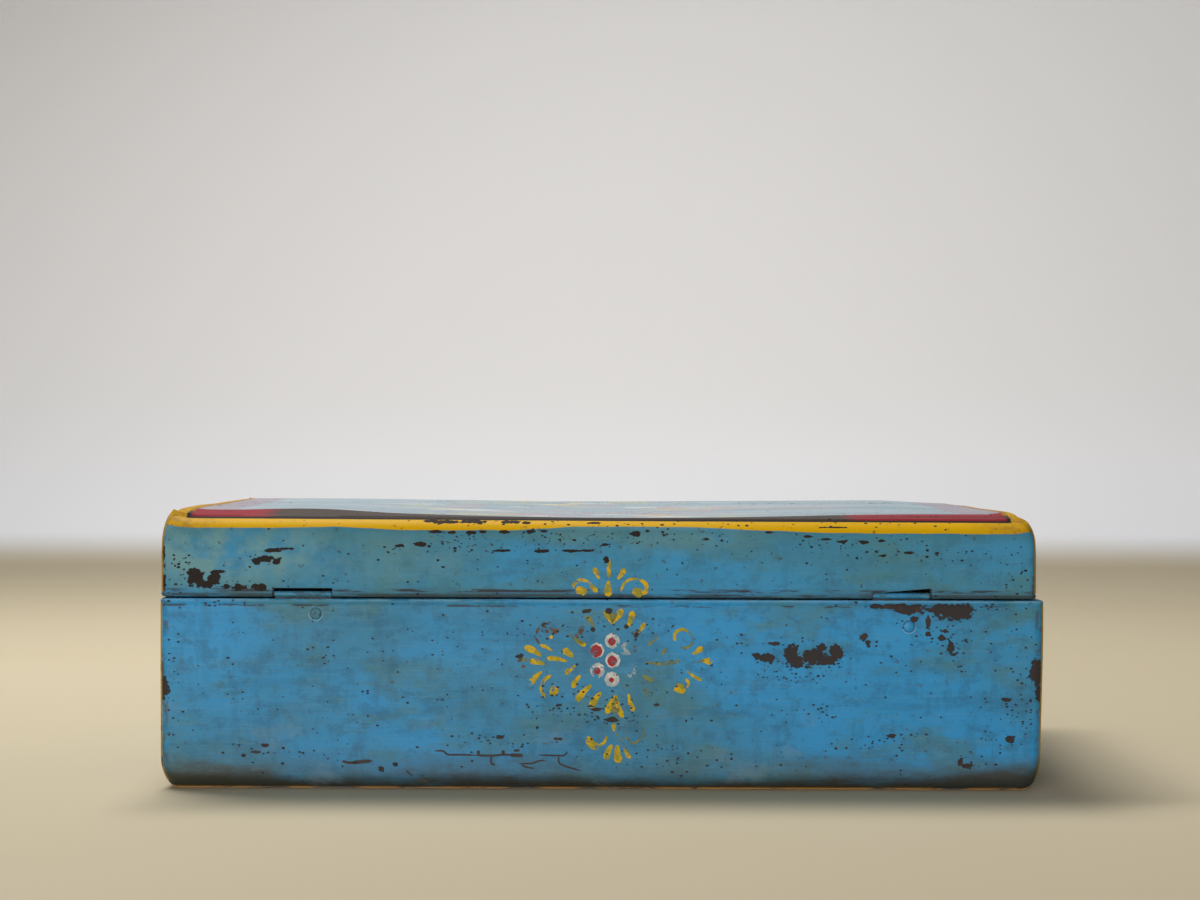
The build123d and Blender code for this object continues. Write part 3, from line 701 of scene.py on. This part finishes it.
def settle(x, y, z):
    """The lid's corners are oval, its top has sunk and its hinge-side edge is rounded down."""
    wide = lid_corner_right if x > lid.shift else lid_corner_left
    new_x = oval_corner(x - lid.shift, lid.wrap_z - z, lid.wrap_half, lid.wrap_bend, wide, lid_corner_h)
    new_x = lid.shift + new_x
    if z < settle_z:
        return new_x, y, z
    at_seam, behind, in_front = sunk_by(x)
    from_end = top_end - abs(new_x - lid.shift)
    at_seam *= ease(from_end / 16)
    behind *= ease((from_end - 4) / 22)
    in_front *= ease(from_end / 14)
    from_seam = seam_y - y
    if from_seam < strip_w:
        sunk = at_seam + (behind - at_seam) * sin(min(max(from_seam / strip_w, 0), 1) * pi / 2)
    else:
        sunk = behind + (in_front - behind) * ease((from_seam - strip_w) / top_run)
        sunk += edge_fall * ease((front_y - y) / front_run) * ease(from_end / 14)
    dent = dimple * max(0.0, 1 - hypot((x - dimple_x) / dimple_w, (y - dimple_y) / dimple_d))
    return new_x, y, z - (max(sunk, 0.0) + dent) * ease((z - settle_z) / settle_run)


def worn(shell, x, y, z):
    """Where a point of the plain box or lid lies on the worn one."""
    return settle(x, y, z) if shell is lid else (foot_shape(x, z), y, z)


class Pressed:
    """One pressed panel: rounded on three sides, its fourth side rolled round the rim wire."""

    def __init__(self, shell, name, side, seed, fittings=()):
        self.shell, self.name, self.side, self.seed, self.fittings = shell, name, side, seed, fittings
        self.face = shell.back if side > 0 else shell.front
        self.height = abs(shell.rim_z - shell.panel_z) - sqrt(bead_r**2 - shell.ring_in**2)

    def hollow(self, x, from_closed):
        """How far the face is pushed in at x and a distance from the closed edge."""
        shell, calm = self.shell, 1
        inset = min(shell.panel_half - abs(x), from_closed, self.height - from_closed + rim_calm)
        z = shell.panel_z + shell.up * from_closed
        for at_x, at_z in self.fittings:
            away = hypot(x + shell.shift - at_x, z - at_z)
            calm = min(calm, ease((away - fitting_r) / fitting_run))
        deep = panel_hollow * ripple(x, from_closed, self.seed)
        return deep * ease((inset - panel_calm) / panel_run) * calm

    def place(self, x, from_closed):
        """Point of the outer surface, and how far its normal leans towards the end."""
        shell, bend = self.shell, self.shell.panel_bend
        from_end = shell.panel_half - abs(x)
        along, away = abs(x), from_closed
        if from_end < bend and from_closed < bend:
            p, q = 1 - from_end / bend, 1 - from_closed / bend
            p, q = p * sqrt(1 - q * q / 2), q * sqrt(1 - p * p / 2)
            inset = bend * (1 - hypot(p, q))
            turn = ease(atan2(q, p) / (pi / 2)) if hypot(p, q) else 0.5
            round_r = side_round + (shell.closed_round - side_round) * turn
            along, away = shell.panel_half - bend + bend * p, bend - bend * q
        elif from_closed >= bend:
            inset, round_r = from_end, side_round
        else:
            inset, round_r = from_closed, shell.closed_round
        inset = max(inset, 0.0)
        drop = round_r - sqrt(max(round_r**2 - (round_r - inset) ** 2, 0)) if inset < round_r else 0.0
        lean = max(0.0, (side_round - from_end) / side_round) if from_closed >= bend else 0.0
        depth = self.face - drop - self.hollow(x, from_closed)
        return (along if x >= 0 else -along), depth, shell.panel_z + shell.up * away, lean

    def finish_point(self, x, depth, z):
        return worn(self.shell, x + self.shell.shift, self.side * depth, z)

    def surface(self, x, z):
        """Depth of the sheet's outer surface under a painted mark."""
        shell = self.shell
        depth = self.face - self.hollow(x - shell.shift, abs(z - shell.panel_z))
        off = z - shell.rim_z
        if abs(off) < bead_r:
            depth = max(depth, self.face - shell.ring_in + sqrt(bead_r**2 - off**2))
        return self.side * depth

    def build(self, node, slots=()):
        """Makes the panel in place of a node; slots are the middles of its hinge slots."""
        shell, half, bend = self.shell, self.shell.panel_half, self.shell.panel_bend
        edges = [0, 0.6, 1.4, 2.4, 4, 6.5, 9.5, bend]
        columns = [-half + s for s in edges] + [half - s for s in edges]
        columns += spread(-half + bend, half - bend, pitch)
        cuts = [(middle - shell.shift - slot_half, middle - shell.shift + slot_half) for middle in slots]
        columns = [x for x in columns if all(min(abs(x - cut) for cut in pair) > 2 for pair in cuts)]
        columns = sorted(set(columns + [cut for pair in cuts for cut in pair]))
        slot_row = abs(slot_top - shell.panel_z)
        rows = [0, 0.7, 1.7, 3, 4.8, 7, 9.2, 11.2, bend]
        rows += [r for r in spread(bend, self.height - 1.2, 6.0) if abs(r - slot_row) > 1.5]
        rows = sorted(set(rows + [self.height] + ([slot_row] if slots else [])))
        grid = [[self.finish_point(*self.place(x, row)[:3]) for x in columns] for row in rows]
        for turn in bead_turns:
            line = []
            for x in columns:
                at_x, depth, z, lean = self.place(x, self.height)
                ring_in = shell.ring_in + (end_ring_in - shell.ring_in) * lean
                out = bead_r * cos(radians(turn)) - ring_in
                at_x += copysign(1, x) * lean * out
                depth += sqrt(1 - lean * lean) * out
                bead_z = shell.rim_z + shell.up * bead_r * sin(radians(turn))
                line.append(self.finish_point(at_x, depth, bead_z))
            grid.append(line)
        points = [point for line in grid for point in line]
        wide, faces = len(columns), []
        for i in range(len(grid) - 1):
            for j in range(wide - 1):
                middle = (columns[j] + columns[j + 1]) / 2
                cut = any(low < middle < high for low, high in cuts)
                if not cut or (i < len(rows) and rows[i] < slot_row - 0.01):
                    faces.append(quad(i, j, wide))
        if slots:
            droop = rows.index(slot_row)
            low_x, high_x = cuts[0]
            for j, x in enumerate(columns):
                if low_x - 0.1 <= x <= high_x + 0.1:
                    share = (x - low_x) / (high_x - low_x)
                    px, py, _ = points[droop * wide + j]
                    points[droop * wide + j] = (px, py, droop_high + (droop_low - droop_high) * share)
        last = len(rows) - 1
        chain = [i * wide for i in range(last - 1, 0, -1)] + list(range(wide))
        chain += [i * wide + wide - 1 for i in range(1, last)]
        start = len(points)
        for index in chain:
            x, y, z = points[index]
            points.append((x, y - self.side * flange, z))
        for k in range(len(chain) - 1):
            faces.append((chain[k], chain[k + 1], start + k + 1, start + k))
        middle = (shell.shift + 20, self.side * self.face, (shell.panel_z + shell.rim_z) / 2)
        outward = (middle, (0, self.side, 0))
        materials = [paints[shell.kind], paints["inner"]]
        piece = make_piece(self.name, points, faces, materials, shell.rides, outward)
        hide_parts(node)


def wrap_pieces(shell):
    """The bent sheet of the body or the lid, as its two ends and the floor or top between them."""
    half, closed_z, bend = shell.wrap_half, shell.wrap_z, shell.wrap_bend
    rim_z, up, shift, kind = shell.rim_z, shell.up, shell.shift, shell.kind
    path = []
    for turn in map(radians, reversed(bead_turns)):
        path.append((shell.ring_x + bead_r * cos(turn), rim_z + up * bead_r * sin(turn), 0.0))
    for z in spread(rim_z - up * 1.6, closed_z + up * bend, pitch):
        path.append((half, z, 0.0))
    for i in range(1, 10):
        turn = radians(10 * i)
        path.append((half - bend + bend * cos(turn), closed_z + up * (bend - bend * sin(turn)), ease(i / 9)))
    bend_end = len(path) - 1
    path += [(x, closed_z, 1.0) for x in spread(half - bend, 0, 8.0)[1:]]
    path += [(-x, z, turn) for x, z, turn in reversed(path[:-1])]
    count = len(path)
    normals = []
    for i in range(count):
        before, after = path[max(i - 1, 0)], path[min(i + 1, count - 1)]
        run = Vector((after[0] - before[0], 0, after[1] - before[1])).normalized()
        normals.append((-up * run.z, up * run.x))
    hem_end = hem_rows[-1][0]

    def strip_of(first, last, name, direction):
        points, faces, kinds = [], [], []
        inner = 24
        for i in range(first, last + 1):
            x, z, turn = path[i]
            nx, nz = normals[i]
            on_bead = min(i, count - 1 - i) < len(bead_turns)
            round_r = side_round + (shell.closed_round - side_round) * turn
            edge_back = shell.back - round_r - seam_gap
            edge_front = -(shell.front - round_r - seam_gap)
            line = [(edge_back - step, proud) for step, proud in hem_rows]
            low, high = edge_front + hem_end, edge_back - hem_end
            line += [(high + (low - high) * k / inner, 0.0) for k in range(1, inner)]
            line += [(edge_front + step, proud) for step, proud in reversed(hem_rows)]
            for y, proud in line:
                lift = 0.0 if on_bead else proud
                calm = ease(min((y - edge_front) / wrap_run, (edge_back - y) / wrap_run, 1))
                calm *= ease((abs(z - rim_z) - rim_calm) / rim_run)
                if up > 0:
                    lift *= 1 - turn
                    from_clip = hypot(abs(y) - clip_y, z - clip_z)
                    calm *= ease((from_clip - clip_r) / clip_run) if turn < 0.9 else 0
                dent = wrap_hollow * ripple(y + 40 * turn, z + x * 0.4 * turn, 5 + up, 80) * calm
                points.append(worn(shell, x + nx * (lift - dent) + shift, y, z + nz * (lift - dent)))
        wide = inner + 2 * len(hem_rows) - 1
        for i in range(last - first):
            for j in range(wide - 1):
                faces.append(quad(i, j, wide))
                hem = j < hem_faces or j >= wide - 1 - hem_faces
                kinds.append(1 if hem and path[first + i][2] < 0.55 else 0)
        materials = [paints[kind], paints["hem"], paints["inner"], paints["inner"]]
        piece = make_piece(name, points, faces, materials, shell.rides, direction, kinds)
        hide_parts(f"{kind}_wrap")

    middle_y = 10.0
    side_z = (rim_z + closed_z + up * bend) / 2
    flat = "floor" if up > 0 else "top"
    other_bend = count - 1 - bend_end
    strip_of(0, bend_end, f"{kind}_right_end", ((half + shift, middle_y, side_z), (1, 0, 0)))
    strip_of(bend_end, other_bend, f"{kind}_{flat}", ((shift, middle_y, closed_z), (0, 0, -up)))
    strip_of(other_bend, count - 1, f"{kind}_left_end", ((-half + shift, middle_y, side_z), (-1, 0, 0)))


body_back = Pressed(box, "back_panel", 1, 1, [(-hinge_x, 98), (hinge_x, 98)])
body_front = Pressed(box, "front_panel", -1, 2, [(0, 90)])
lid_back = Pressed(lid, "lid_back", 1, 3)
lid_front = Pressed(lid, "lid_front", -1, 4, [(0, 122), (0, 136)])
body_back.build("body_back_panel")
body_front.build("body_front_panel")
lid_back.build("lid_back_panel", (-hinge_x, hinge_x))
lid_front.build("lid_front_panel")
wrap_pieces(box)
wrap_pieces(lid)

# --- hinge rivets ---
rivet_profile = [(0.0, 0.75), (1.5, 0.7), (2.5, 0.5), (3.05, 0.22), (3.25, -0.1), (3.25, -0.9)]
rivet_sides = 32
rivet_points, rivet_faces = [], []
for rivet_x, rivet_z in hinge_rivet_places:
    start = len(rivet_points)
    seat_y = body_back.surface(rivet_x, rivet_z)
    for radius, rise in rivet_profile:
        for i in range(rivet_sides):
            turn = 2 * pi * i / rivet_sides
            rivet_points.append((rivet_x + radius * cos(turn), seat_y + rise, rivet_z + radius * sin(turn)))
    for ring in range(start, start + (len(rivet_profile) - 1) * rivet_sides, rivet_sides):
        for i in range(rivet_sides):
            a, b = ring + i, ring + (i + 1) % rivet_sides
            rivet_faces.append((a, b, b + rivet_sides, a + rivet_sides))
hinge_blue = hinge_paint()
rivet_heads = make_piece("hinge_rivet_heads", rivet_points, rivet_faces, [hinge_blue], "trunk")
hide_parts("hinge_rivets")

# --- painted ornament ---
class Marks:
    """Brush marks laid on one surface, in millimetres from the ornament's middle as it is seen."""

    def __init__(self, seat):
        self.seat, self.points, self.faces = seat, [], []

    def ribbon(self, line, width):
        """A mark along a smooth line; width takes the share along it from 0 to 1."""
        line = [Vector(point) for point in line]
        run = sum((b - a).length for a, b in zip(line, line[1:]))
        count = max(6, round(run / 0.9))
        ends = [line[0] * 2 - line[1], *line, line[-1] * 2 - line[-2]]
        start = len(self.points)
        for i in range(count + 1):
            along = i / count * (len(line) - 1)
            part = min(int(along), len(line) - 2)
            t = along - part
            a, b, c, d = ends[part : part + 4]
            bow, twist = 2 * a - 5 * b + 4 * c - d, 3 * b - a - 3 * c + d
            place = 0.5 * (2 * b + (c - a) * t + bow * t**2 + twist * t**3)
            way = 0.5 * ((c - a) + 2 * bow * t + 3 * twist * t**2)
            across = Vector((-way.y, way.x)).normalized()
            shake = 1 + 0.22 * noise.noise(Vector((place.x * 0.8, place.y * 0.8, 3.0)))
            for share in across_mark:
                point = place + across * share * width(i / count) / 2 * shake
                self.points.append(self.seat(point.x, point.y))
        wide = len(across_mark)
        self.faces += [quad(i, j, wide, start) for i in range(count) for j in range(wide - 1)]

    def petal(self, tail, head, wide):
        """Comma of the brush: pointed at its tail, round at its head."""
        def width(t):
            full = sqrt(max(0.02, 1 - ((t - 0.66) / 0.34) ** 2)) if t > 0.66 else 1
            return stroke_gain * wide * (0.25 + 0.75 * t**0.7) * full

        middle = (Vector(tail) + Vector(head)) / 2
        side = Vector((head[1] - tail[1], tail[0] - head[0])) * 0.05
        self.ribbon([tail, middle + side, head], width)

    def line(self, points, wide):
        """Thin stroke, tapered at both ends."""
        self.ribbon(points, lambda t: stroke_gain * wide * min(1.0, 0.35 + 5 * t, 0.3 + 5 * (1 - t)))

    def disc(self, middle, radius):
        x, z = middle
        self.ribbon(
            [(x - radius, z), (x, z), (x + radius, z)],
            lambda t: 2 * radius * sqrt(max(0.01, 1 - (2 * t - 1) ** 2)),
        )

    def laid(self, name, material, body):
        make_piece(name, self.points, self.faces, [material], body)


stroke_gain = 1.25
across_mark = (-1, -0.5, 0, 0.5, 1)
ornament_x = -5.1
ornament_z = 76.3
coat = 0.12


def on_panel(panel, lift=coat):
    """Seat of marks on an upright panel: right and up as the panel is seen from outside."""
    def seat(right, up):
        x, z = ornament_x - right, ornament_z + up
        return x, panel.surface(x, z) + panel.side * lift, z

    return seat


# Each petal is tail, head and width; each line its points and width.
body_bright = [
    ((0.8, 19.2), (-4, 26.6), 3.6), ((0.8, 19.2), (6.4, 27.8), 3.8), ((9.5, 17.3), (12.7, 26.7), 3.8),
    ((15.6, 14.5), (19.5, 19.8), 2.8), ((-39.8, 0.8), (-49.4, 5.8), 3.8), ((-37.9, -4.1), (-46.5, -2.3), 3.4),
    ((-21.5, 0), (-27.5, 4.4), 4.0), ((-25, -2.5), (-36.5, -0.5), 2.8), ((-20.3, -4.7), (-26, -9.9), 3.2),
    ((-17.4, -10.5), (-22, -17.6), 3.3), ((-11, -15.9), (-19.6, -25.4), 3.9),
    ((-5.5, -20), (-11.2, -29), 4.0),
    ((3.1, -21.8), (-2.2, -32.4), 3.6), ((3.1, -21.8), (7, -34.6), 3.2), ((10.2, -21), (13.4, -31), 2.9),
    ((-39.4, -8.2), (-46.4, -15.8), 3.4), ((0.9, -50.2), (-2.8, -58.6), 3.9), ((4, -50.4), (5, -60.6), 4.4),
    ((7.8, -52.4), (11.6, -57.8), 2.3), ((47.1, 1.9), (52.6, 6.1), 3.4), ((52.4, -1.5), (58.4, -1.9), 3.9),
    ((43.7, -7.6), (52.4, -13.2), 2.0), ((-19.5, 9.4), (-14.2, 6.8), 2.5), ((1.8, -42.4), (1.7, -37.8), 2.4),
    ((-33.4, 12), (-35, 10.8), 2.6), ((-33.4, 3.6), (-40.6, 7), 2.0),
]
body_bright_lines = [
    ([(-11.9, -45.3), (-11.9, -48.4), (-9.4, -50.8), (-6.6, -50.6)], 3.4),
    ([(-6.6, -50.6), (-3.6, -48.8), (-2.1, -45)], 1.3),
    ([(-34, -10.2), (-38.3, -13.5), (-39.6, -18.6), (-37.6, -23)], 1.7),
    ([(-34.6, -18.6), (-32.6, -19.4), (-31, -21.4)], 4.6),
    ([(37.2, -16.2), (40, -18), (43, -17.8)], 4.2), ([(43, -17.6), (44.6, -14.6), (43.2, -12.2)], 1.5),
    ([(37, 9.4), (36.5, 12.6), (38.1, 15.2), (41.2, 16), (44.6, 14.8)], 1.5),
]
body_faded = [
    ((21, 6.8), (26.9, 13.7), 2.8), ((-9.7, 17), (-14.4, 23.7), 3.3), ((29, 1.8), (32.4, 5.6), 2.5),
    ((19.8, -3), (40.3, -1.9), 2.6), ((18.5, -10.2), (25.6, -14.4), 3.2), ((18.2, -17.3), (24.2, -21.8), 3.2),
    ((-24, 13.5), (-15.5, 7.6), 2.6), ((0.9, 20.5), (1.2, 26), 4.4), ((3.2, -23.5), (2.9, -32.6), 5.2),
    ((45, -2.6), (54, -1.8), 1.5), ((-45, -2.6), (-52.5, -1.3), 2.3),
]
body_faded_lines = [
    ([(44.6, 14.8), (47.2, 11), (46, 7.4), (42.8, 5.5), (39.6, 6.2)], 1.2),
    ([(2.6, -42.5), (6, -47.5), (11.5, -56.6)], 0.8),
    ([(8.9, -42), (9.9, -47), (13.4, -48.9), (17.9, -47), (19.7, -43.2), (17.2, -40.6), (14.8, -42.6)], 1.4),
]
body_brown_lines = [
    ([(-35, 18.8), (-39.4, 18.6), (-42, 15.2), (-42.7, 10.8), (-40.8, 7.2)], 1.2),
    ([(-39.5, 19), (-36, 17.6)], 2.4), ([(-34.4, 16.6), (-30.4, 13.6)], 1.7),
    ([(-33.6, 13.4), (-30, 16.4)], 1.1),
    ([(-18.2, 16.4), (-15.6, 15)], 3.9), ([(-37.6, 15), (-35.6, 14.4)], 1.6),
    ([(16.6, 15.8), (13.4, 11.4)], 2.4),
    ([(14, 6.4), (13.4, 3)], 1.8), ([(-51, -1), (-53.4, -2.6)], 1.6), ([(-49, -5.2), (-51, -6)], 2.0),
    ([(-20.4, 13.2), (-18.4, 11)], 1.4),
]
lid_bright = [
    ((-6.8, 44.8), (-10.2, 51.3), 3.0), ((3.8, 44.8), (7.9, 51), 3.1), ((-1.3, 43.8), (-1.2, 34.8), 4.4),
    ((-12.9, 43.4), (-7.7, 37.4), 2.9),
]
lid_bright_lines = [
    ([(-1.2, 56.4), (-1.2, 45.6)], 1.9), ([(-12.9, 43.4), (-17.4, 44.2), (-21, 42), (-21.9, 38.8)], 1.5),
    ([(-20.2, 38.6), (-17, 38.2), (-14, 36.8)], 3.6),
    ([(5.7, 37.8), (7.4, 42), (11, 44.7), (16.3, 44.8)], 1.2),
    ([(16.3, 44.8), (20, 42), (20.2, 38), (17.6, 36)], 1.9), ([(12.9, 39), (15.4, 37.2), (18.2, 36.4)], 4.0),
]
berry_r = 4.3
faded_berry_r = 3.8
berries = [((0.9, 9.4), 2.3), ((-8, 3.9), 3.5), ((1.2, -1.7), 2.9), ((-7.5, -7.5), 2.1), ((0.8, -12.6), 1.5)]
faded_berries = [(8.9, 4.9), (11.8, -7.6)]
cracks = [
    ([(-100.7, -54), (-96, -54), (-93, -56), (-85, -56.1), (-76.8, -56.4)], 0.9),
    ([(-78, -56.4), (-68.3, -56.6), (-61.3, -56), (-56, -56.2)], 1.0), ([(-57.5, -56.2), (-50, -56.4)], 1.7),
    ([(-75.7, -53.6), (-75.7, -56.2)], 1.4), ([(-61.6, -53.4), (-61.3, -56)], 1.5),
    ([(-68.3, -56.8), (-68.2, -61), (-66, -61.7)], 0.9), ([(-55.4, -53.6), (-52, -53.6)], 1.2),
    ([(-52.4, -61), (-45.7, -61), (-42.9, -60.2), (-40.6, -59.4), (-36.6, -59.2)], 0.8),
    ([(-51.4, -61.6), (-47.9, -63.1), (-43.6, -63.8)], 0.8),
    ([(-41.2, -56.1), (-30.2, -56.4), (-26.7, -56.3), (-24.4, -54)], 0.8),
    ([(-29.5, -56.6), (-29.5, -60.3), (-26.7, -62.1), (-23.2, -63.3), (-16.2, -65.2)], 0.8),
    ([(-32.7, -46.8), (-27.4, -46.9)], 1.3), ([(-153.8, -60), (-149.3, -60.9), (-144, -60.6)], 1.3),
    ([(-148, -60.8), (-136.7, -59.8)], 1.7), ([(-117, -65.2), (-113.4, -68.4)], 0.8),
    ([(-206.3, -54.9), (-201.4, -54.9)], 1.1), ([(-110, -70.4), (-104, -71.6)], 1.0),
]


def lay_marks(name, seat, petals, lines, material, body):
    marks = Marks(seat)
    for petal in petals:
        marks.petal(*petal)
    for line in lines:
        marks.line(*line)
    marks.laid(name, material, body)


body_worn = (body_flakes, body_crumbs)
lid_worn = (lid_flakes, lid_crumbs)
folk = {
    name: folk_paint(name, *rest)
    for name, *rest in (
        ("yellow", [(202, 164, 4), (152, 138, 34)], 0.4, body_worn),
        ("faded_yellow", [(128, 128, 62), (92, 112, 92)], 0.47, body_worn),
        ("brown", [(84, 66, 56), (104, 84, 66)], 0.45, body_worn),
        ("white", [(200, 196, 186), (156, 166, 164)], 0.43, body_worn),
        ("worn_white", [(150, 166, 168), (110, 140, 146)], 0.5, body_worn),
        ("red", [(160, 24, 34), (140, 52, 52)], 0.42, body_worn),
        ("lid_yellow", [(200, 162, 6), (146, 134, 40)], 0.42, lid_worn),
    )
}

on_back = on_panel(body_back)
lay_marks("ornament_yellow", on_back, body_bright, body_bright_lines, folk["yellow"], "trunk")
lay_marks("ornament_faded", on_back, body_faded, body_faded_lines, folk["faded_yellow"], "trunk")
lay_marks("ornament_brown", on_back, [], body_brown_lines, folk["brown"], "trunk")
lay_marks("ornament_on_lid", on_panel(lid_back), lid_bright, lid_bright_lines, folk["lid_yellow"], "lid")
whites, reds, worn_whites = Marks(on_back), Marks(on_panel(body_back, 2 * coat)), Marks(on_back)
for (x, z), red_r in berries:
    whites.disc((x, z), berry_r)
    reds.disc((x - 0.3, z - 0.4), red_r)
for middle in faded_berries:
    worn_whites.disc(middle, faded_berry_r)
whites.laid("ornament_white", folk["white"], "trunk")
reds.laid("ornament_red", folk["red"], "trunk")
worn_whites.laid("ornament_worn_white", folk["worn_white"], "trunk")
cracked = Finish("cracked_paint")
lay_marks("cracks", on_back, [], cracks, cracked.done(bare(cracked), 0.6), "trunk")

# --- materials of the pieces that keep their solids ---
kept = {
    "hinge_strap_left hinge_strap_right": hinge_blue,
    "body_rim_wire lid_rim_wire": wire_iron,
    "lip_front lip_left lip_right": paints["inner"],
    "staple hasp_plate hasp_strap": fitting_steel,
    "left_clip_front left_clip_rear right_clip_front right_clip_rear": fitting_steel,
    "hasp_pin hasp_rivets staple_rivets left_handle_rivets right_handle_rivets": rivet_steel,
    "left_handle right_handle": handle_iron,
}
for names, material in kept.items():
    for name in names.split():
        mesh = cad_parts[name].data
        mesh.materials.clear()
        mesh.materials.append(material)

# --- light, floor and camera ---
scene = bpy.context.scene
scene.view_settings.view_transform = "Standard"

floor_half = 6000.0
floor_low = 0.02
wall_start = -2300.0
wall_bend = 300.0
wall_head = 5000.0
soil_dark = (186, 172, 142)
soil_light = (194, 181, 153)
wall_white = (252, 252, 255)
sky_fill = (0.14, 0.145, 0.15, 1)
sky_seen = (0.68, 0.7, 0.73, 1)


def stage_paint():
    """Pale warm floor and a cooler pale wall."""
    f = Finish("pale_stage")
    ground = f.mix(f.grain(900, 3), soil_dark, soil_light)
    return f.done(f.mix(f.step(f.z, 2, 60), ground, wall_white), 0.8)


profile = [(floor_half, 0.0), (wall_start, 0.0)]
for turn in range(10, 91, 10):
    away, rise = wall_bend * sin(radians(turn)), wall_bend * (1 - cos(radians(turn)))
    profile.append((wall_start - away, rise))
profile.append((wall_start - wall_bend, wall_head))
sides = (-floor_half, floor_half)
stage_points = [(x * mm, y * mm, (z - floor_low) * mm) for y, z in profile for x in sides]
stage_faces = [(2 * i, 2 * i + 1, 2 * i + 3, 2 * i + 2) for i in range(len(profile) - 1)]
stage_mesh = bpy.data.meshes.new("floor")
stage_mesh.from_pydata(stage_points, [], stage_faces)
stage_mesh.shade_smooth()
stage_mesh.materials.append(stage_paint())
floor = put("floor", stage_mesh)

world = bpy.data.worlds.new("studio")
sky = Nodes(world)
ray = sky.node("ShaderNodeLightPath", {}, {}, "Is Camera Ray")
seen = sky.math("ADD", ray, ray.also("Is Glossy Ray"), clamp=True)
seen = sky.math("ADD", seen, ray.also("Is Transmission Ray"), clamp=True)
shade = sky.node("ShaderNodeBackground", {}, {"Color": sky.mix(seen, sky_fill, sky_seen)})
sky.node("ShaderNodeOutputWorld", {}, {"Surface": shade})
scene.world = world


def soft_lamp(name, place, target, width, height, power, spread=180):
    """A rectangular lamp turned to its target."""
    lamp = bpy.data.lights.new(name, "AREA")
    lamp.spread = radians(spread)
    lamp.shape, lamp.size, lamp.size_y, lamp.energy = "RECTANGLE", width, height, power
    facing = (Vector(target) - Vector(place)).to_track_quat("-Z", "Y")
    put(name, lamp, place).rotation_euler = facing.to_euler()


# Lamps are placed in metres, and their power is in watts.
soft_lamp("overhead", (0.6, -0.75, 2.05), (0, 0.0, 0), 1.5, 0.5, 54)
soft_lamp("camera_side", (0.9, 3.4, 0.5), (0, 0.1, 0.1), 2.6, 0.7, 12.8, 70)

camera = bpy.data.cameras.new("camera")
camera.lens, camera.sensor_width = camera_lens, 36.0
scene.camera = put("camera", camera, [part * mm for part in camera_place])
scene.camera.rotation_euler = (radians(90), 0, pi)
scene.camera.rotation_euler.rotate_axis("Z", radians(camera_roll))
